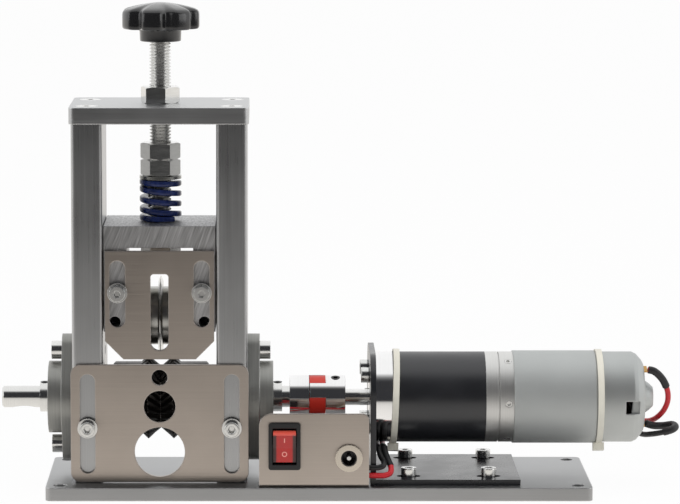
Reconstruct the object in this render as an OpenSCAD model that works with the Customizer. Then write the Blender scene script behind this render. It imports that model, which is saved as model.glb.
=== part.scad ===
// Motor-driven bench wire stripper: a toothed feed roller pulls the cable
// through a guide hole under a round blade that a sprung screw presses down.
// Along X: free shaft end, tower, coupling, gear motor. The wire runs along Y,
// from the front at -Y. Z is up from the underside of the base plate.

/* [Base] */
// Length of the base plate
base_l = 250; // [246:1:300]
// Depth of the base plate
base_d = 80; // [78:1:110]
// Thickness of the base plate
base_t = 6; // [6:0.5:10]
// Radius of the base plate's corners
base_corner_r = 3; // [1:0.5:6]
// Mounting hole's centre to the base's end
mount_inset_x = 6.5; // [5:0.5:9]
// Mounting hole's centre to the base's long side
mount_inset_y = 7; // [6:0.5:12]
// Diameter of the mounting holes
mount_hole_d = 6; // [4:0.5:7]

/* [Tower] */
// Centre of the tower along X
tower_x = -73; // [-74:0.1:-72.6]
// Clear width between the two columns
tower_gap = 52; // [50:0.5:54]
// Width of a column along X
column_w = 14.2; // [13:0.1:15]
// Depth of a column along Y
column_d = 50; // [48:1:54]
// Height of a column
column_h = 165.5; // [158:0.5:175]
// Radius of the upright edges of a column
column_edge_r = 2; // [0.5:0.5:3]
// How far the top plate stands out past a column
top_overhang = 0.8; // [0:0.1:3]
// Depth of the top plate along Y
top_plate_d = 58; // [52:1:64]
// Thickness of the top plate
top_plate_t = 7.5; // [6:0.5:10]
// Radius of the top plate's corners
top_plate_corner_r = 3; // [1:0.5:5]

/* [Feed] */
// Height of the feed shaft over the underside of the base
shaft_z = 41.8; // [41:0.1:42.6]
// Diameter of the feed shaft
shaft_d = 10; // [8:0.5:10]
// How far the feed shaft stands out of the left bearing
shaft_free_l = 17.7; // [12:0.1:30]
// Play between the feed roller and a column
roller_side_gap = 3.9; // [3:0.1:5]
// Diameter of the roller's plain ends
roller_body_d = 33; // [31:0.5:34]
// Diameter over the two toothed rims beside the groove
roller_rim_d = 39; // [38:0.5:39.5]
// Diameter at the bottom of the V groove
roller_groove_d = 28.8; // [27:0.2:30]
// Half the width of the V groove between its rims
groove_half_w = 5.8; // [5:0.1:6.5]

/* [Wire guide] */
// Thickness of the front guide plate
guide_t = 2; // [1.5:0.1:2.2]
// How far the guide plate stands out past a column
guide_overhang = 0.6; // [0:0.1:2]
// Height of the front guide plate
guide_h = 54.5; // [53:0.5:55]
// Diameter of the top guide hole, for thin wire
guide_hole_top_d = 7.3; // [6:0.1:8]
// Diameter of the middle guide hole
guide_hole_mid_d = 14.5; // [12:0.5:15]
// Diameter of the bottom guide hole, for thick cable
guide_hole_low_d = 23; // [20:0.5:24]
// Width of the slots in the guide plate
guide_slot_w = 7; // [5:0.5:7.5]

/* [Blade head] */
// Height of the blade's axle
axle_z = 80; // [79.8:0.1:81]
// Diameter of the blade's axle
axle_d = 6; // [5:0.5:6.5]
// Diameter of the round blade
blade_d = 37; // [36:0.5:38.4]
// Thickness of the round blade
blade_t = 2; // [1.5:0.1:2.4]
// Diameter of the flanges that hold the blade
flange_d = 27; // [24:0.5:28]
// Depth of the yoke along Y
yoke_d = 44; // [40:1:44]
// Height of the yoke's underside at rest
yoke_z = 75.5; // [75:0.1:75.8]
// Height of the yoke
yoke_h = 48.7; // [47:0.1:50]
// Thickness of the yoke's bridge
yoke_bridge_t = 10; // [8:0.5:10.5]
// Width of a yoke leg along X
yoke_leg_w = 10.2; // [9:0.1:10.4]
// Thickness of the guard plate in front of the blade
guard_t = 2; // [1.5:0.1:2.2]
// How far the guard plate stands back from the yoke's sides
guard_inset = 0.6; // [0.2:0.1:1.4]
// Height of the guard plate
guard_h = 50; // [48:0.5:51]
// Size of the guard plate's cut lower corners
guard_corner = 8.4; // [6:0.2:10]
// Width of the guard plate's window
window_w = 8.2; // [7:0.2:10]
// Width of the guard plate's slots
guard_slot_w = 7.2; // [5:0.1:7.4]

/* [Pressure screw] */
// Diameter of the pressure screw
screw_d = 10; // [8:0.5:10]
// Height of the lower end of the pressure screw
screw_end_z = 103.5; // [103.2:0.1:104]
// Width of every nut across its flats
nut_af = 16; // [15:0.5:17]
// Height of one nut
nut_h = 7.6; // [7:0.1:7.8]
// Outside diameter of the pressure spring
spring_d = 19.4; // [19:0.1:20]
// Height of the spring at rest
spring_h = 19.8; // [18.5:0.1:20.5]
// Number of full turns of the spring
spring_turns = 5; // [4:1:6]
// Diameter over the lobes of the star knob
knob_d = 36; // [34:0.5:42]
// Number of lobes of the star knob
knob_lobes = 7; // [5:1:9]
// Height of the lobed part of the star knob
knob_rim_h = 9; // [7:0.5:11]

/* [Drive] */
// Diameter of the coupling
coupling_d = 20; // [18:0.5:22]
// Length of the solid part of one coupling hub
coupling_hub_l = 9; // [8:0.2:9.4]
// Length of the coupling's spider between the hubs
spider_l = 7.8; // [7:0.2:8.4]
// Diameter of the gearbox output shaft
output_d = 8; // [7:0.5:9]
// Left face of the motor bracket along X
bracket_x = 23.6; // [23.3:0.1:24.4]
// Thickness of the bracket's sheet
bracket_t = 2.6; // [2:0.1:3]
// Width of the bracket along Y
bracket_w = 66; // [62:1:68]
// Height of the bracket over the base
bracket_h = 58.6; // [55:0.2:64]
// Radius of the bracket's two top corners
bracket_corner_r = 17; // [8:0.5:20]
// Length of the bracket's foot along X
bracket_foot_l = 68.7; // [66:0.1:72]
// Diameter of the gearbox
gearbox_d = 42; // [41:0.2:42.4]
// Length of the gearbox's front cover
front_cover_l = 8.2; // [8:0.1:10]
// Length of the toothed gearbox sleeve
sleeve_l = 42.8; // [42.4:0.1:46]
// Length of the ring behind the sleeve
rear_plate_l = 6.4; // [5:0.1:7]
// Length of the motor's front plate
motor_plate_l = 6.6; // [5.4:0.1:7]
// Diameter of the motor can
motor_d = 43; // [42.6:0.1:44]
// Length of the motor can
motor_can_l = 38; // [37:0.5:42]
// Length of the motor's end cap
end_cap_l = 22.6; // [21:0.1:26]

/* [Switch plate] */
// Width of the folded plate that carries the switch
panel_w = 50.2; // [49:0.1:50.6]
// Height of the plate over the base
panel_h = 34; // [32:0.5:36]
// Depth of the plate's foot along Y
panel_foot_d = 18; // [16:0.5:18.4]
// Thickness of the plate's sheet
panel_t = 1.5; // [1:0.1:2]
// Radius of the plate's top left corner
panel_left_r = 5.5; // [2:0.5:8]
// Radius of the plate's top right corner
panel_right_r = 3; // [1:0.5:6]
// Width of the switch's frame
switch_w = 14.6; // [14:0.2:16]
// Height of the switch's frame
switch_h = 21.6; // [20.6:0.2:22]
// Diameter of the ring round the power jack
jack_ring_d = 12.5; // [11:0.5:14]

/* [Hidden] */

// Fits and overruns shared by all pieces
fit = 0.05; // radial play of a shaft in its bore
seat = 0.1; // radial play of a screw or plug in its hole
gap = 0.3; // play between pieces that move past each other
over = 1; // how far a cut runs past the face that it opens
round_fn = 64; // sides used for round stock
small_fn = 32; // sides used for small screws and balls
wire_fn = 8; // sides of a lead

// Metric screws: shank, head diameter, head height, key width
m4 = [4, 7, 4, 3];
m4_l = 8;
m5 = [5, 8.5, 5, 4];
m5_bearing_l = 12;
m5_column_l = 16;
m5_sink_d = 10;
m5_sink_h = 2.6;
tap_depth = 14;
key_depth_share = 0.6;
washer_d = 9.2;
washer_t = 0.8;
thread_pitch = 1.5;

// Tower
tower_half = tower_gap / 2 + column_w; // to a column's outer face
column_z = base_t;
column_top_z = base_t + column_h;
column_offset = tower_gap / 2 + column_w / 2;
column_screw_y = 18;
shaft_hole_d = 16;
top_z = column_top_z + top_plate_t;

// Flange bearings
bearing_bolt_span = 44;
bearing_lug_r = 7.6;
bearing_centre_r = 18;
bearing_flange_t = 5.6;
bearing_boss_d = 33.4;
bearing_boss_l = 11.9;
bearing_lip = 1;
race_d = 26;
race_l = 8;
race_wall = 2;
shield_t = 0.6;
inner_ring_d = 14;
inner_ring_end = 16;
inner_ring_start = 1.5;
ball_d = 3.8;
ball_count = 8;
ball_ring_r = (inner_ring_d / 2 + race_d / 2 - race_wall) / 2;

// Feed shaft and roller
shaft_chamfer = 0.8;
shaft_left_x = tower_x - tower_half - inner_ring_end - shaft_free_l;
scallop_depth = 1.1;
scallop_l = 12;
scallop_share = 0.58;
scallop_r = (pow(scallop_l / 2, 2) + pow(scallop_depth, 2)) / (2 * scallop_depth);
scallop_x = shaft_left_x + shaft_free_l * scallop_share;
roller_chamfer = 1;
rim_flat = 0.3;
coupling_gap = 3.5;
coupling_x = tower_x + tower_half + inner_ring_end + coupling_gap;
shaft_right_x = coupling_x + coupling_hub_l - gap;
roller_l = tower_gap - 2 * roller_side_gap;
roller_step = (roller_rim_d - roller_body_d) / 2;
roller_grub_inset = 5;
roller_grub_x = roller_l / 2 - roller_grub_inset;
grub_d = 4;
grub_key = 2;

// Jaw coupling
jaw_count = 2;
jaw_inner_d = 9.4;
jaw_angle = 41;
coupling_turn = 18;
leg_angle = 48;
spider_core_d = 12;
spider_hole_d = 5;
coupling_end_x = coupling_x + 2 * coupling_hub_l + spider_l;

// Front guide plate
guide_lift = 0.4;
guide_z = base_t + guide_lift;
guide_corner_r = 4.5;
guide_slot_x = column_offset;
guide_slot_z = 10.5;
guide_slot_l = 46;
guide_screw_z = 31.5;
guide_hole_top_z = 55;
guide_hole_mid_z = 41.6;
guide_hole_low_z = 20.4;
guide_back_y = -column_d / 2;
guide_front_y = guide_back_y - guide_t;

// Yoke and guard
yoke_play = 0.4;
yoke_w = tower_gap - 2 * yoke_play;
yoke_front_y = -yoke_d / 2;
yoke_top_z = yoke_z + yoke_h;
leg_x = yoke_w / 2 - yoke_leg_w / 2;
leg_inner_x = yoke_w / 2 - yoke_leg_w;
bridge_hole_play = 0.5;
bridge_hole_d = screw_d + 2 * bridge_hole_play;
guard_z = 63;
guard_slot_inset = 1.2;
guard_slot_x = leg_x - guard_slot_inset;
guard_slot_z = 77.9;
guard_slot_l = 30.6;
guard_screw_z = 93.7;
window_z = 67.1;
window_l = 35.2;
window_top_r = 1.5;
set_screw_l = 6;

// Blade assembly, measured from the tower's centre
blade_bevel_r = 2;
blade_edge_t = 0.3;
hub_d = 12;
flange_l = 6;
neck_d = 17;
bearing_d = 13;
bearing_l = 5;
bearing_bore_gap = 1;
hub_reach = 4;

// Screw, nuts, spring and knob
spring_seat_t = 1.5;
spring_seat_z = yoke_top_z + spring_h;
jam_nut_z = spring_seat_z + spring_seat_t;
retaining_nut_z = yoke_top_z - yoke_bridge_t - nut_h;
knob_hub_d = 19.5;
knob_hub_h = 5.6;
knob_lift = 28.4;
knob_z = top_z + knob_lift;
knob_rim_z = knob_z + knob_hub_h;
knob_dome_h = 3.4;
knob_notch_d = 9;
knob_notch_out = 1.6;
knob_edge_r = 1.5;
screw_top_z = knob_rim_z + knob_rim_h * 0.6;
lock_nut_turn = -14;
jam_nut_turn = 0;
spring_coil_h = 2.3;
spring_coil_w = 4;
spring_sides = 6;
spring_rings = 8;
spring_ground_share = 0.62;
nut_chamfer = 0.6;

// Bracket
bracket_bore_d = 22.4;
face_screw_inset = 4;
face_screw_pcd = gearbox_d - 2 * face_screw_inset;
foot_slot_l = 11;
foot_slot_w = 4.4;
foot_screw_inset = [17.8, 54.6];
foot_screw_x = [for (inset = foot_screw_inset) bracket_x + inset];
foot_screw_y = 23.5;

// Gear train: sun, planet and ring teeth, module and tooth form
sun_teeth = 12;
planet_teeth = 18;
ring_teeth = sun_teeth + 2 * planet_teeth;
planet_count = 3;
addendum_share = 0.75;
dedendum_share = 1.0;
ring_wall = 2.25;
gear_module = (gearbox_d / 2 - ring_wall) / (ring_teeth / 2 + dedendum_share);
tooth_backlash = 0.34;
flank_slope = tan(20);
planet_r = gear_module * (sun_teeth + planet_teeth) / 2;
planet_pin_d = 4;
carrier_rim = 2.25;
carrier_d = 2 * planet_r + planet_pin_d + 2 * carrier_rim;
carrier_t = 4;
output_planet_l = 12;
input_planet_l = 10;
side_play = 0.4;

// Gearbox and motor places along X
cover_x = bracket_x + bracket_t;
sleeve_x = cover_x + front_cover_l;
rear_plate_x = sleeve_x + sleeve_l;
motor_plate_x = rear_plate_x + rear_plate_l;
motor_can_x = motor_plate_x + motor_plate_l;
end_cap_x = motor_can_x + motor_can_l;
end_cap_end_x = end_cap_x + end_cap_l;
pilot_d = 22;
output_bearing_d = 19;
output_bearing_l = 6;
output_left_x = coupling_x + coupling_hub_l + spider_l + gap;
output_flat = 0.8;
output_carrier_x = sleeve_x + side_play;
output_planet_x = output_carrier_x + carrier_t + side_play;
first_carrier_x = output_planet_x + output_planet_l + side_play;
input_planet_x = first_carrier_x + carrier_t + side_play;
pinion_end_x = input_planet_x + input_planet_l + side_play;
ring_groove_w = 0.6;
ring_groove_depth = 0.7;
ring_screw_count = 6;
ring_screw_d = 3;
motor_shaft_d = 5;
can_wall = 1.8;
cap_step = 0.5;
cap_d = motor_d - 2 * cap_step;
cap_wall = 1.8;
cap_shoulder = 5.2;
boss_d = 16.8;
boss_l = 4.8;
vent_w = 6.4;
vent_h = 6;
vent_inset = 2.9;
vent_drop = 5;
magnet_angle = 130;
magnet_t = 4;
armature_d = 30;
armature_l = 26;
armature_slots = 5;
slot_depth = 8;
slot_w = 3;
winding_l = 5;
commutator_d = 11;
commutator_l = 8;
armature_inset = 7;
armature_x = motor_can_x + armature_inset;
brush_w = 4;
brush_h = 5;
terminal_t = 0.8;
terminal_w = 4.8;
terminal_inset = 6.5;
terminal_r = cap_d / 2 - terminal_inset;
terminal_out = 1.6;
terminal_turn = 20;

// Cable ties and leads
tie_w = 2.9;
tie_t = 1.1;
tie_head = 5;
tie_play = 0.25;
tie_tilt = 2;
tie_head_turn = -15;
tie_front_x = sleeve_x + tie_w / 2 - side_play;
tie_rear_x = end_cap_x + tie_w / 2 + side_play;
lead_d = 2.6;
sleeved_d = 3.2;
lead_back_y = 23.4;
red_back_z = 34;
black_back_z = 30;

// Switch plate, its centre and what it carries
panel_x = -2.3;
panel_inset = 2;
panel_y = panel_inset - base_d / 2;
panel_bend_r = 1.5;
panel_screw_span = 34;
panel_screw_inset = 13;
panel_screw_y = panel_y + panel_screw_inset;
switch_x = -15.8;
switch_z = 25.1;
switch_frame_t = 1.6;
switch_frame_r = 1.2;
switch_neck = 1;
switch_depth = 12;
rocker_w = 10.4;
rocker_h = 15.6;
rocker_tilt = 10;
rocker_pin_d = 2;
rocker_pin_depth = 2.5;
rocker_pin_y = panel_y + rocker_pin_depth;
rocker_pocket_depth = 7;
switch_tab = [0.8, 5, 4.8];
jack_x = 13.6;
jack_z = 19.7;
jack_socket_d = 6.3;
jack_pin_d = 2;
jack_flange_t = 1.6;
jack_barrel_d = 10;
jack_l = 15;

// Round bar along X from x, at height z
module x_bar(d, l, x = 0, y = 0, z = 0, sides = round_fn) {
  translate([x, y, z])
    rotate([0, 90, 0])
      cylinder(d = d, h = l, $fn = sides);
}

// Round bar along Y from y towards the back
module y_bar(d, l, x = 0, y = 0, z = 0, sides = round_fn) {
  translate([x, y, z])
    rotate([-90, 0, 0])
      cylinder(d = d, h = l, $fn = sides);
}

// Flat plate centred on X and Y, with round upright corners
module round_plate(w, d, h, r) {
  for (sx = [-1, 1])
    for (sy = [-1, 1])
      translate([sx * (w / 2 - r), sy * (d / 2 - r), 0])
        cylinder(r = r, h = h, $fn = round_fn);
  translate([-w / 2 + r, -d / 2, 0])
    cube([w - 2 * r, d, h]);
  translate([-w / 2, -d / 2 + r, 0])
    cube([w, d - 2 * r, h]);
}

// Slot with round ends, cut along Y through t from y
module upright_slot(w, l, t, x, y, z) {
  for (end = [w / 2, l - w / 2])
    y_bar(w, t, x, y, z + end);
  translate([x - w / 2, y, z + w / 2])
    cube([w, t, l - w]);
}

// Socket cap screw pointing down, with its head resting on z = 0
module cap_screw(size, l) {
  difference() {
    union() {
      cylinder(d = size[1], h = size[2], $fn = small_fn);
      translate([0, 0, -l])
        cylinder(d = size[0], h = l, $fn = small_fn);
    }
    translate([0, 0, size[2] * (1 - key_depth_share)])
      cylinder(d = size[3] / cos(30), h = size[2] * key_depth_share + over, $fn = 6);
  }
}

// Countersunk screw pointing down, with its head flush with z = 0
module sunk_screw(l) {
  difference() {
    union() {
      translate([0, 0, -m5_sink_h])
        cylinder(d1 = m5[0], d2 = m5_sink_d, h = m5_sink_h, $fn = small_fn);
      translate([0, 0, -l])
        cylinder(d = m5[0], h = l, $fn = small_fn);
    }
    translate([0, 0, -m5_sink_h * key_depth_share])
      cylinder(d = m5[3] * 0.8 / cos(30), h = m5_sink_h, $fn = 6);
  }
}

// Hole for a countersunk screw, opening at z = 0
module sunk_hole(depth) {
  translate([0, 0, -depth])
    cylinder(d = m5[0] + 2 * seat, h = depth + over, $fn = small_fn);
  translate([0, 0, -m5_sink_h - seat])
    cylinder(d1 = m5[0], d2 = m5_sink_d + 2 * seat, h = m5_sink_h + seat, $fn = small_fn);
  cylinder(d = m5_sink_d + 2 * seat, h = over, $fn = small_fn);
}

// Headless screw pointing down from z = 0
module set_screw(d, l, key) {
  difference() {
    translate([0, 0, -l])
      cylinder(d = d, h = l, $fn = small_fn);
    translate([0, 0, -l / 2])
      cylinder(d = key / cos(30), h = l, $fn = 6);
  }
}

// Hexagon nut with turned corners, standing on z = 0
module hex_nut(af, h, bore) {
  corner_r = af / 2 / cos(30);
  difference() {
    intersection() {
      cylinder(r = corner_r, h = h, $fn = 6);
      rotate_extrude($fn = round_fn)
        polygon([[0, 0], [af / 2, 0], [corner_r, nut_chamfer],
          [corner_r, h - nut_chamfer], [af / 2, h], [0, h]]);
    }
    translate([0, 0, -over])
      cylinder(d = bore, h = h + 2 * over, $fn = round_fn);
  }
}

// Flat washer standing on z = 0
module washer(d, bore, h) {
  difference() {
    cylinder(d = d, h = h, $fn = small_fn);
    translate([0, 0, -over])
      cylinder(d = bore, h = h + 2 * over, $fn = small_fn);
  }
}

// Places a child that points along +Z so that it points along +X
module along_x() {
  rotate([0, 90, 0])
    children();
}

// Outline of an external gear, tooth 0 on +X
function gear_points(teeth, tip_r, root_r, pitch_r, thickness) =
  [for (i = [0:teeth - 1])
    let (mid = 360 * i / teeth)
    for (corner = [[root_r, -1], [tip_r, -1], [tip_r, 1], [root_r, 1]])
      let (half_t = thickness / 2 + (pitch_r - corner[0]) * flank_slope)
      let (turn = mid + corner[1] * asin(half_t / corner[0]))
      [corner[0] * cos(turn), corner[0] * sin(turn)]];

// External gear of the stated length with a round bore
module gear(teeth, l, bore) {
  pitch_r = gear_module * teeth / 2;
  tooth = PI * gear_module / 2 - tooth_backlash / 2;
  difference() {
    linear_extrude(l)
      polygon(gear_points(teeth, pitch_r + gear_module * addendum_share,
        pitch_r - gear_module * dedendum_share, pitch_r, tooth));
    translate([0, 0, -over])
      cylinder(d = bore, h = l + 2 * over, $fn = small_fn);
  }
}

// Opening of the internal gear
module ring_opening(l) {
  pitch_r = gear_module * ring_teeth / 2;
  space = PI * gear_module / 2 + tooth_backlash / 2;
  half_pitch = 180 / ring_teeth;
  rotate([0, 0, half_pitch])
    linear_extrude(l)
      polygon(gear_points(ring_teeth, pitch_r + gear_module * dedendum_share,
        pitch_r - gear_module * addendum_share, pitch_r, space));
}

// Base plate with its holes
module base_plate() {
  color("gainsboro")
    difference() {
      round_plate(base_l, base_d, base_t, base_corner_r);
      for (sx = [-1, 1])
        for (sy = [-1, 1])
          translate([sx * (base_l / 2 - mount_inset_x), sy * (base_d / 2 - mount_inset_y), -over])
            cylinder(d = mount_hole_d, h = base_t + 2 * over, $fn = round_fn);
      for (sx = [-1, 1])
        for (sy = [-1, 1])
          translate([tower_x + sx * column_offset, sy * column_screw_y, 0])
            rotate([180, 0, 0])
              sunk_hole(base_t + over);
      for (x = foot_screw_x)
        for (sy = [-1, 1])
          translate([x, sy * foot_screw_y, -over])
            cylinder(d = m4[0] + 2 * seat, h = base_t + 2 * over, $fn = small_fn);
      for (sx = [-1, 1])
        translate([panel_x + sx * panel_screw_span / 2, panel_screw_y, -over])
          cylinder(d = m4[0] + 2 * seat, h = base_t + 2 * over, $fn = small_fn);
    }
}

// Column on one side of the tower, -1 left or 1 right
module column(side) {
  color("silver")
    difference() {
      translate([tower_x + side * column_offset, 0, column_z])
        round_plate(column_w, column_d, column_h, column_edge_r);
      x_bar(shaft_hole_d, column_w + 2 * over,
        tower_x + side * column_offset - column_w / 2 - over, 0, shaft_z);
      for (up = [-1, 1])
        x_bar(m5[0] + 2 * seat, column_w + 2 * over,
          tower_x + side * column_offset - column_w / 2 - over, 0,
          shaft_z + up * bearing_bolt_span / 2);
      y_bar(m4[0] + 2 * seat, tap_depth + over, tower_x + side * guide_slot_x,
        -column_d / 2 - over, guide_screw_z);
      for (sy = [-1, 1])
        translate([tower_x + side * column_offset, sy * column_screw_y, 0]) {
          translate([0, 0, column_z - over])
            cylinder(d = m5[0] + 2 * seat, h = tap_depth + over, $fn = small_fn);
          translate([0, 0, column_top_z - tap_depth])
            cylinder(d = m5[0] + 2 * seat, h = tap_depth + over, $fn = small_fn);
        }
    }
}

// Plate on the columns that carries the screw's thread
module top_plate() {
  color("silver")
    difference() {
      translate([tower_x, 0, column_top_z])
        round_plate(2 * (tower_half + top_overhang), top_plate_d, top_plate_t, top_plate_corner_r);
      translate([tower_x, 0, column_top_z - over])
        cylinder(d = screw_d + 2 * fit, h = top_plate_t + 2 * over, $fn = round_fn);
      for (sx = [-1, 1])
        for (sy = [-1, 1])
          translate([tower_x + sx * column_offset, sy * column_screw_y, top_z])
            sunk_hole(top_plate_t + over);
    }
}

// Countersunk screws through the top plate and through the base
module column_screws() {
  color("dimgray")
    for (sx = [-1, 1])
      for (sy = [-1, 1])
        translate([tower_x + sx * column_offset, sy * column_screw_y, 0]) {
          translate([0, 0, top_z])
            sunk_screw(m5_column_l);
          rotate([180, 0, 0])
            sunk_screw(m5_column_l);
        }
}

// Rhombic outline of a two-bolt bearing flange
module bearing_outline() {
  reach = bearing_bolt_span / 2;
  turn = acos((bearing_centre_r - bearing_lug_r) / reach);
  circle(r = bearing_centre_r, $fn = round_fn);
  for (up = [-1, 1]) {
    translate([up * reach, 0])
      circle(r = bearing_lug_r, $fn = round_fn);
    polygon([
      [up * bearing_centre_r * cos(turn), bearing_centre_r * sin(turn)],
      [up * (reach + bearing_lug_r * cos(turn)), bearing_lug_r * sin(turn)],
      [up * (reach + bearing_lug_r * cos(turn)), -bearing_lug_r * sin(turn)],
      [up * bearing_centre_r * cos(turn), -bearing_centre_r * sin(turn)]]);
  }
}

// Places a child, drawn outwards, on the outer face of one column
module on_column(side) {
  translate([tower_x + side * tower_half, 0, shaft_z])
    rotate([0, side * 90, 0])
      children();
}

// Cast housing of a flange bearing, on one side of the tower
module bearing_housing(side) {
  color("darkgray")
    on_column(side)
      difference() {
        union() {
          linear_extrude(bearing_flange_t)
            bearing_outline();
          cylinder(d = bearing_boss_d, h = bearing_boss_l, $fn = round_fn);
        }
        translate([0, 0, -over])
          cylinder(d = race_d + 2 * fit, h = bearing_boss_l - bearing_lip + over,
            $fn = round_fn);
        translate([0, 0, -over])
          cylinder(d = race_d - 2 * race_wall, h = bearing_boss_l + 2 * over,
            $fn = round_fn);
        for (up = [-1, 1])
          translate([up * bearing_bolt_span / 2, 0, -over])
            cylinder(d = m5[0] + 2 * seat, h = bearing_flange_t + 2 * over,
              $fn = small_fn);
      }
}

// Outer rings with their shields, and the balls that run in them
module bearing_races() {
  start = bearing_boss_l - bearing_lip - race_l;
  shield_r = inner_ring_d / 2 + gap;
  color("silver")
    for (side = [-1, 1])
      on_column(side) {
        translate([0, 0, start])
          rotate_extrude($fn = round_fn)
            polygon([[shield_r, 0], [race_d / 2, 0], [race_d / 2, race_l],
              [shield_r, race_l], [shield_r, race_l - shield_t],
              [race_d / 2 - race_wall, race_l - shield_t],
              [race_d / 2 - race_wall, shield_t], [shield_r, shield_t]]);
        for (i = [0:ball_count - 1])
          rotate([0, 0, 360 * i / ball_count])
            translate([ball_ring_r, 0, start + race_l / 2])
              sphere(d = ball_d, $fn = small_fn);
      }
}

// Extended inner rings that grip the shaft
module bearing_inner_rings() {
  color("gainsboro")
    for (side = [-1, 1])
      on_column(side)
        difference() {
          translate([0, 0, inner_ring_start])
            cylinder(d = inner_ring_d, h = inner_ring_end - inner_ring_start,
              $fn = round_fn);
          cylinder(d = shaft_d + 2 * fit, h = inner_ring_end + over, $fn = round_fn);
          ring_grub(side)
            cylinder(d = grub_d + 2 * seat, h = inner_ring_d, $fn = small_fn);
        }
}

// Places a child, drawn upwards, in an inner ring's screw hole
module ring_grub(side) {
  translate([0, 0, (bearing_boss_l + inner_ring_end) / 2])
    rotate([0, -side * 90, 0])
      children();
}

// Cap screws that hold the bearing flanges to the columns
module bearing_screws() {
  color("dimgray")
    for (side = [-1, 1])
      on_column(side)
        for (up = [-1, 1])
          translate([up * bearing_bolt_span / 2, 0, bearing_flange_t])
            cap_screw(m5, m5_bearing_l);
}

// Feed shaft with a chamfered free end and a ground hollow below it
module feed_shaft() {
  color("gainsboro")
    difference() {
      translate([shaft_left_x, 0, shaft_z])
        along_x()
          rotate_extrude($fn = round_fn)
            polygon([[0, 0], [shaft_d / 2 - shaft_chamfer, 0], [shaft_d / 2, shaft_chamfer],
              [shaft_d / 2, shaft_right_x - shaft_left_x], [0, shaft_right_x - shaft_left_x]]);
      y_bar(2 * scallop_r, shaft_d + 2 * over, scallop_x, -shaft_d / 2 - over,
        shaft_z - shaft_d / 2 + scallop_depth - scallop_r);
    }
}

// Feed roller with two toothed rims and a V groove between them
module feed_roller() {
  half = roller_l / 2;
  rim_r = roller_rim_d / 2;
  body_r = roller_body_d / 2;
  rim_x = groove_half_w + rim_flat;
  half_outline = [[half, 0], [half, body_r - roller_chamfer], [half - roller_chamfer, body_r],
    [rim_x + roller_step, body_r], [rim_x, rim_r], [groove_half_w, rim_r]];
  right = [for (p = half_outline) [p[1], p[0]]];
  left = [for (i = [len(half_outline) - 1:-1:0]) [half_outline[i][1], -half_outline[i][0]]];
  color("dimgray")
    difference() {
      translate([tower_x, 0, shaft_z])
        along_x()
          rotate_extrude($fn = round_fn)
            polygon(concat(right, [[roller_groove_d / 2, 0]], left));
      x_bar(shaft_d + 2 * fit, roller_l + 2 * over, tower_x - half - over, 0, shaft_z);
      for (side = [-1, 1])
        translate([tower_x + side * roller_grub_x, 0, shaft_z])
          cylinder(d = grub_d + 2 * seat, h = roller_rim_d, $fn = small_fn);
    }
}

// Headless screws in the inner rings, the roller and the coupling hubs
module grub_screws() {
  wall = (roller_body_d - shaft_d) / 2;
  color("dimgray") {
    for (side = [-1, 1])
      on_column(side)
        ring_grub(side)
          translate([0, 0, inner_ring_d / 2 + seat])
            set_screw(grub_d, (inner_ring_d - shaft_d) / 2 - fit, grub_key);
    for (side = [-1, 1])
      translate([tower_x + side * roller_grub_x, 0, shaft_z + roller_body_d / 2 - over])
        set_screw(grub_d, wall - over - fit, grub_key);
    for (i = [0, 1])
      translate([hub_grub_x[i], 0, shaft_z])
        rotate([coupling_turn + 180 * (1 - i), 0, 0])
          translate([0, 0, coupling_d / 2 - seat])
            set_screw(grub_d, (coupling_d - shaft_d) / 2 - seat - fit, grub_key);
  }
}

// Places of the two hub screws along X
hub_grub_x = [coupling_x + coupling_hub_l / 2, coupling_end_x - coupling_hub_l / 2];

// Wedge of the stated angle, from the axis out past radius r
module wedge(angle, r, h) {
  reach = r / cos(angle / 2) + over;
  linear_extrude(h)
    polygon([[0, 0], [reach * cos(angle / 2), -reach * sin(angle / 2)],
      [reach * cos(angle / 2), reach * sin(angle / 2)]]);
}

// One coupling hub, drawn from its outer end
module coupling_hub(bore, jaw_turn) {
  difference() {
    union() {
      cylinder(d = coupling_d, h = coupling_hub_l, $fn = round_fn);
      for (i = [0:jaw_count - 1])
        intersection() {
          difference() {
            cylinder(d = coupling_d, h = coupling_hub_l + spider_l - gap, $fn = round_fn);
            cylinder(d = jaw_inner_d, h = coupling_hub_l + spider_l, $fn = round_fn);
          }
          rotate([0, 0, jaw_turn + 360 * i / jaw_count])
            wedge(jaw_angle, coupling_d / 2, coupling_hub_l + spider_l);
        }
    }
    translate([0, 0, -over])
      cylinder(d = bore + 2 * fit, h = coupling_hub_l + 2 * over, $fn = round_fn);
    translate([0, 0, coupling_hub_l / 2])
      rotate([0, -90, 0])
        cylinder(d = grub_d + 2 * seat, h = coupling_d, $fn = small_fn);
  }
}

// The two metal halves of the jaw coupling
module coupling_hubs() {
  color("silver") {
    translate([coupling_x, 0, shaft_z])
      rotate([coupling_turn + 180, 0, 0])
        along_x()
          coupling_hub(shaft_d, -90 / jaw_count);
    translate([coupling_end_x, 0, shaft_z])
      rotate([coupling_turn, 0, 0])
        mirror([1, 0, 0])
          along_x()
            coupling_hub(output_d, 90 / jaw_count);
  }
}

// Soft star between the coupling's jaws
module coupling_spider() {
  color("firebrick")
    translate([coupling_x + coupling_hub_l, 0, shaft_z])
      rotate([coupling_turn, 0, 0])
        along_x()
          difference() {
            union() {
              translate([0, 0, gap / 2])
                cylinder(d = jaw_inner_d - gap, h = spider_l - gap, $fn = round_fn);
              for (i = [0:2 * jaw_count - 1])
                rotate([0, 0, 180 * i / jaw_count])
                  intersection() {
                    translate([0, 0, gap / 2])
                      cylinder(d = coupling_d - gap, h = spider_l - gap, $fn = round_fn);
                    wedge(leg_angle, coupling_d / 2, spider_l);
                  }
            }
            translate([0, 0, -over])
              cylinder(d = spider_hole_d, h = spider_l + 2 * over, $fn = small_fn);
          }
}

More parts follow.
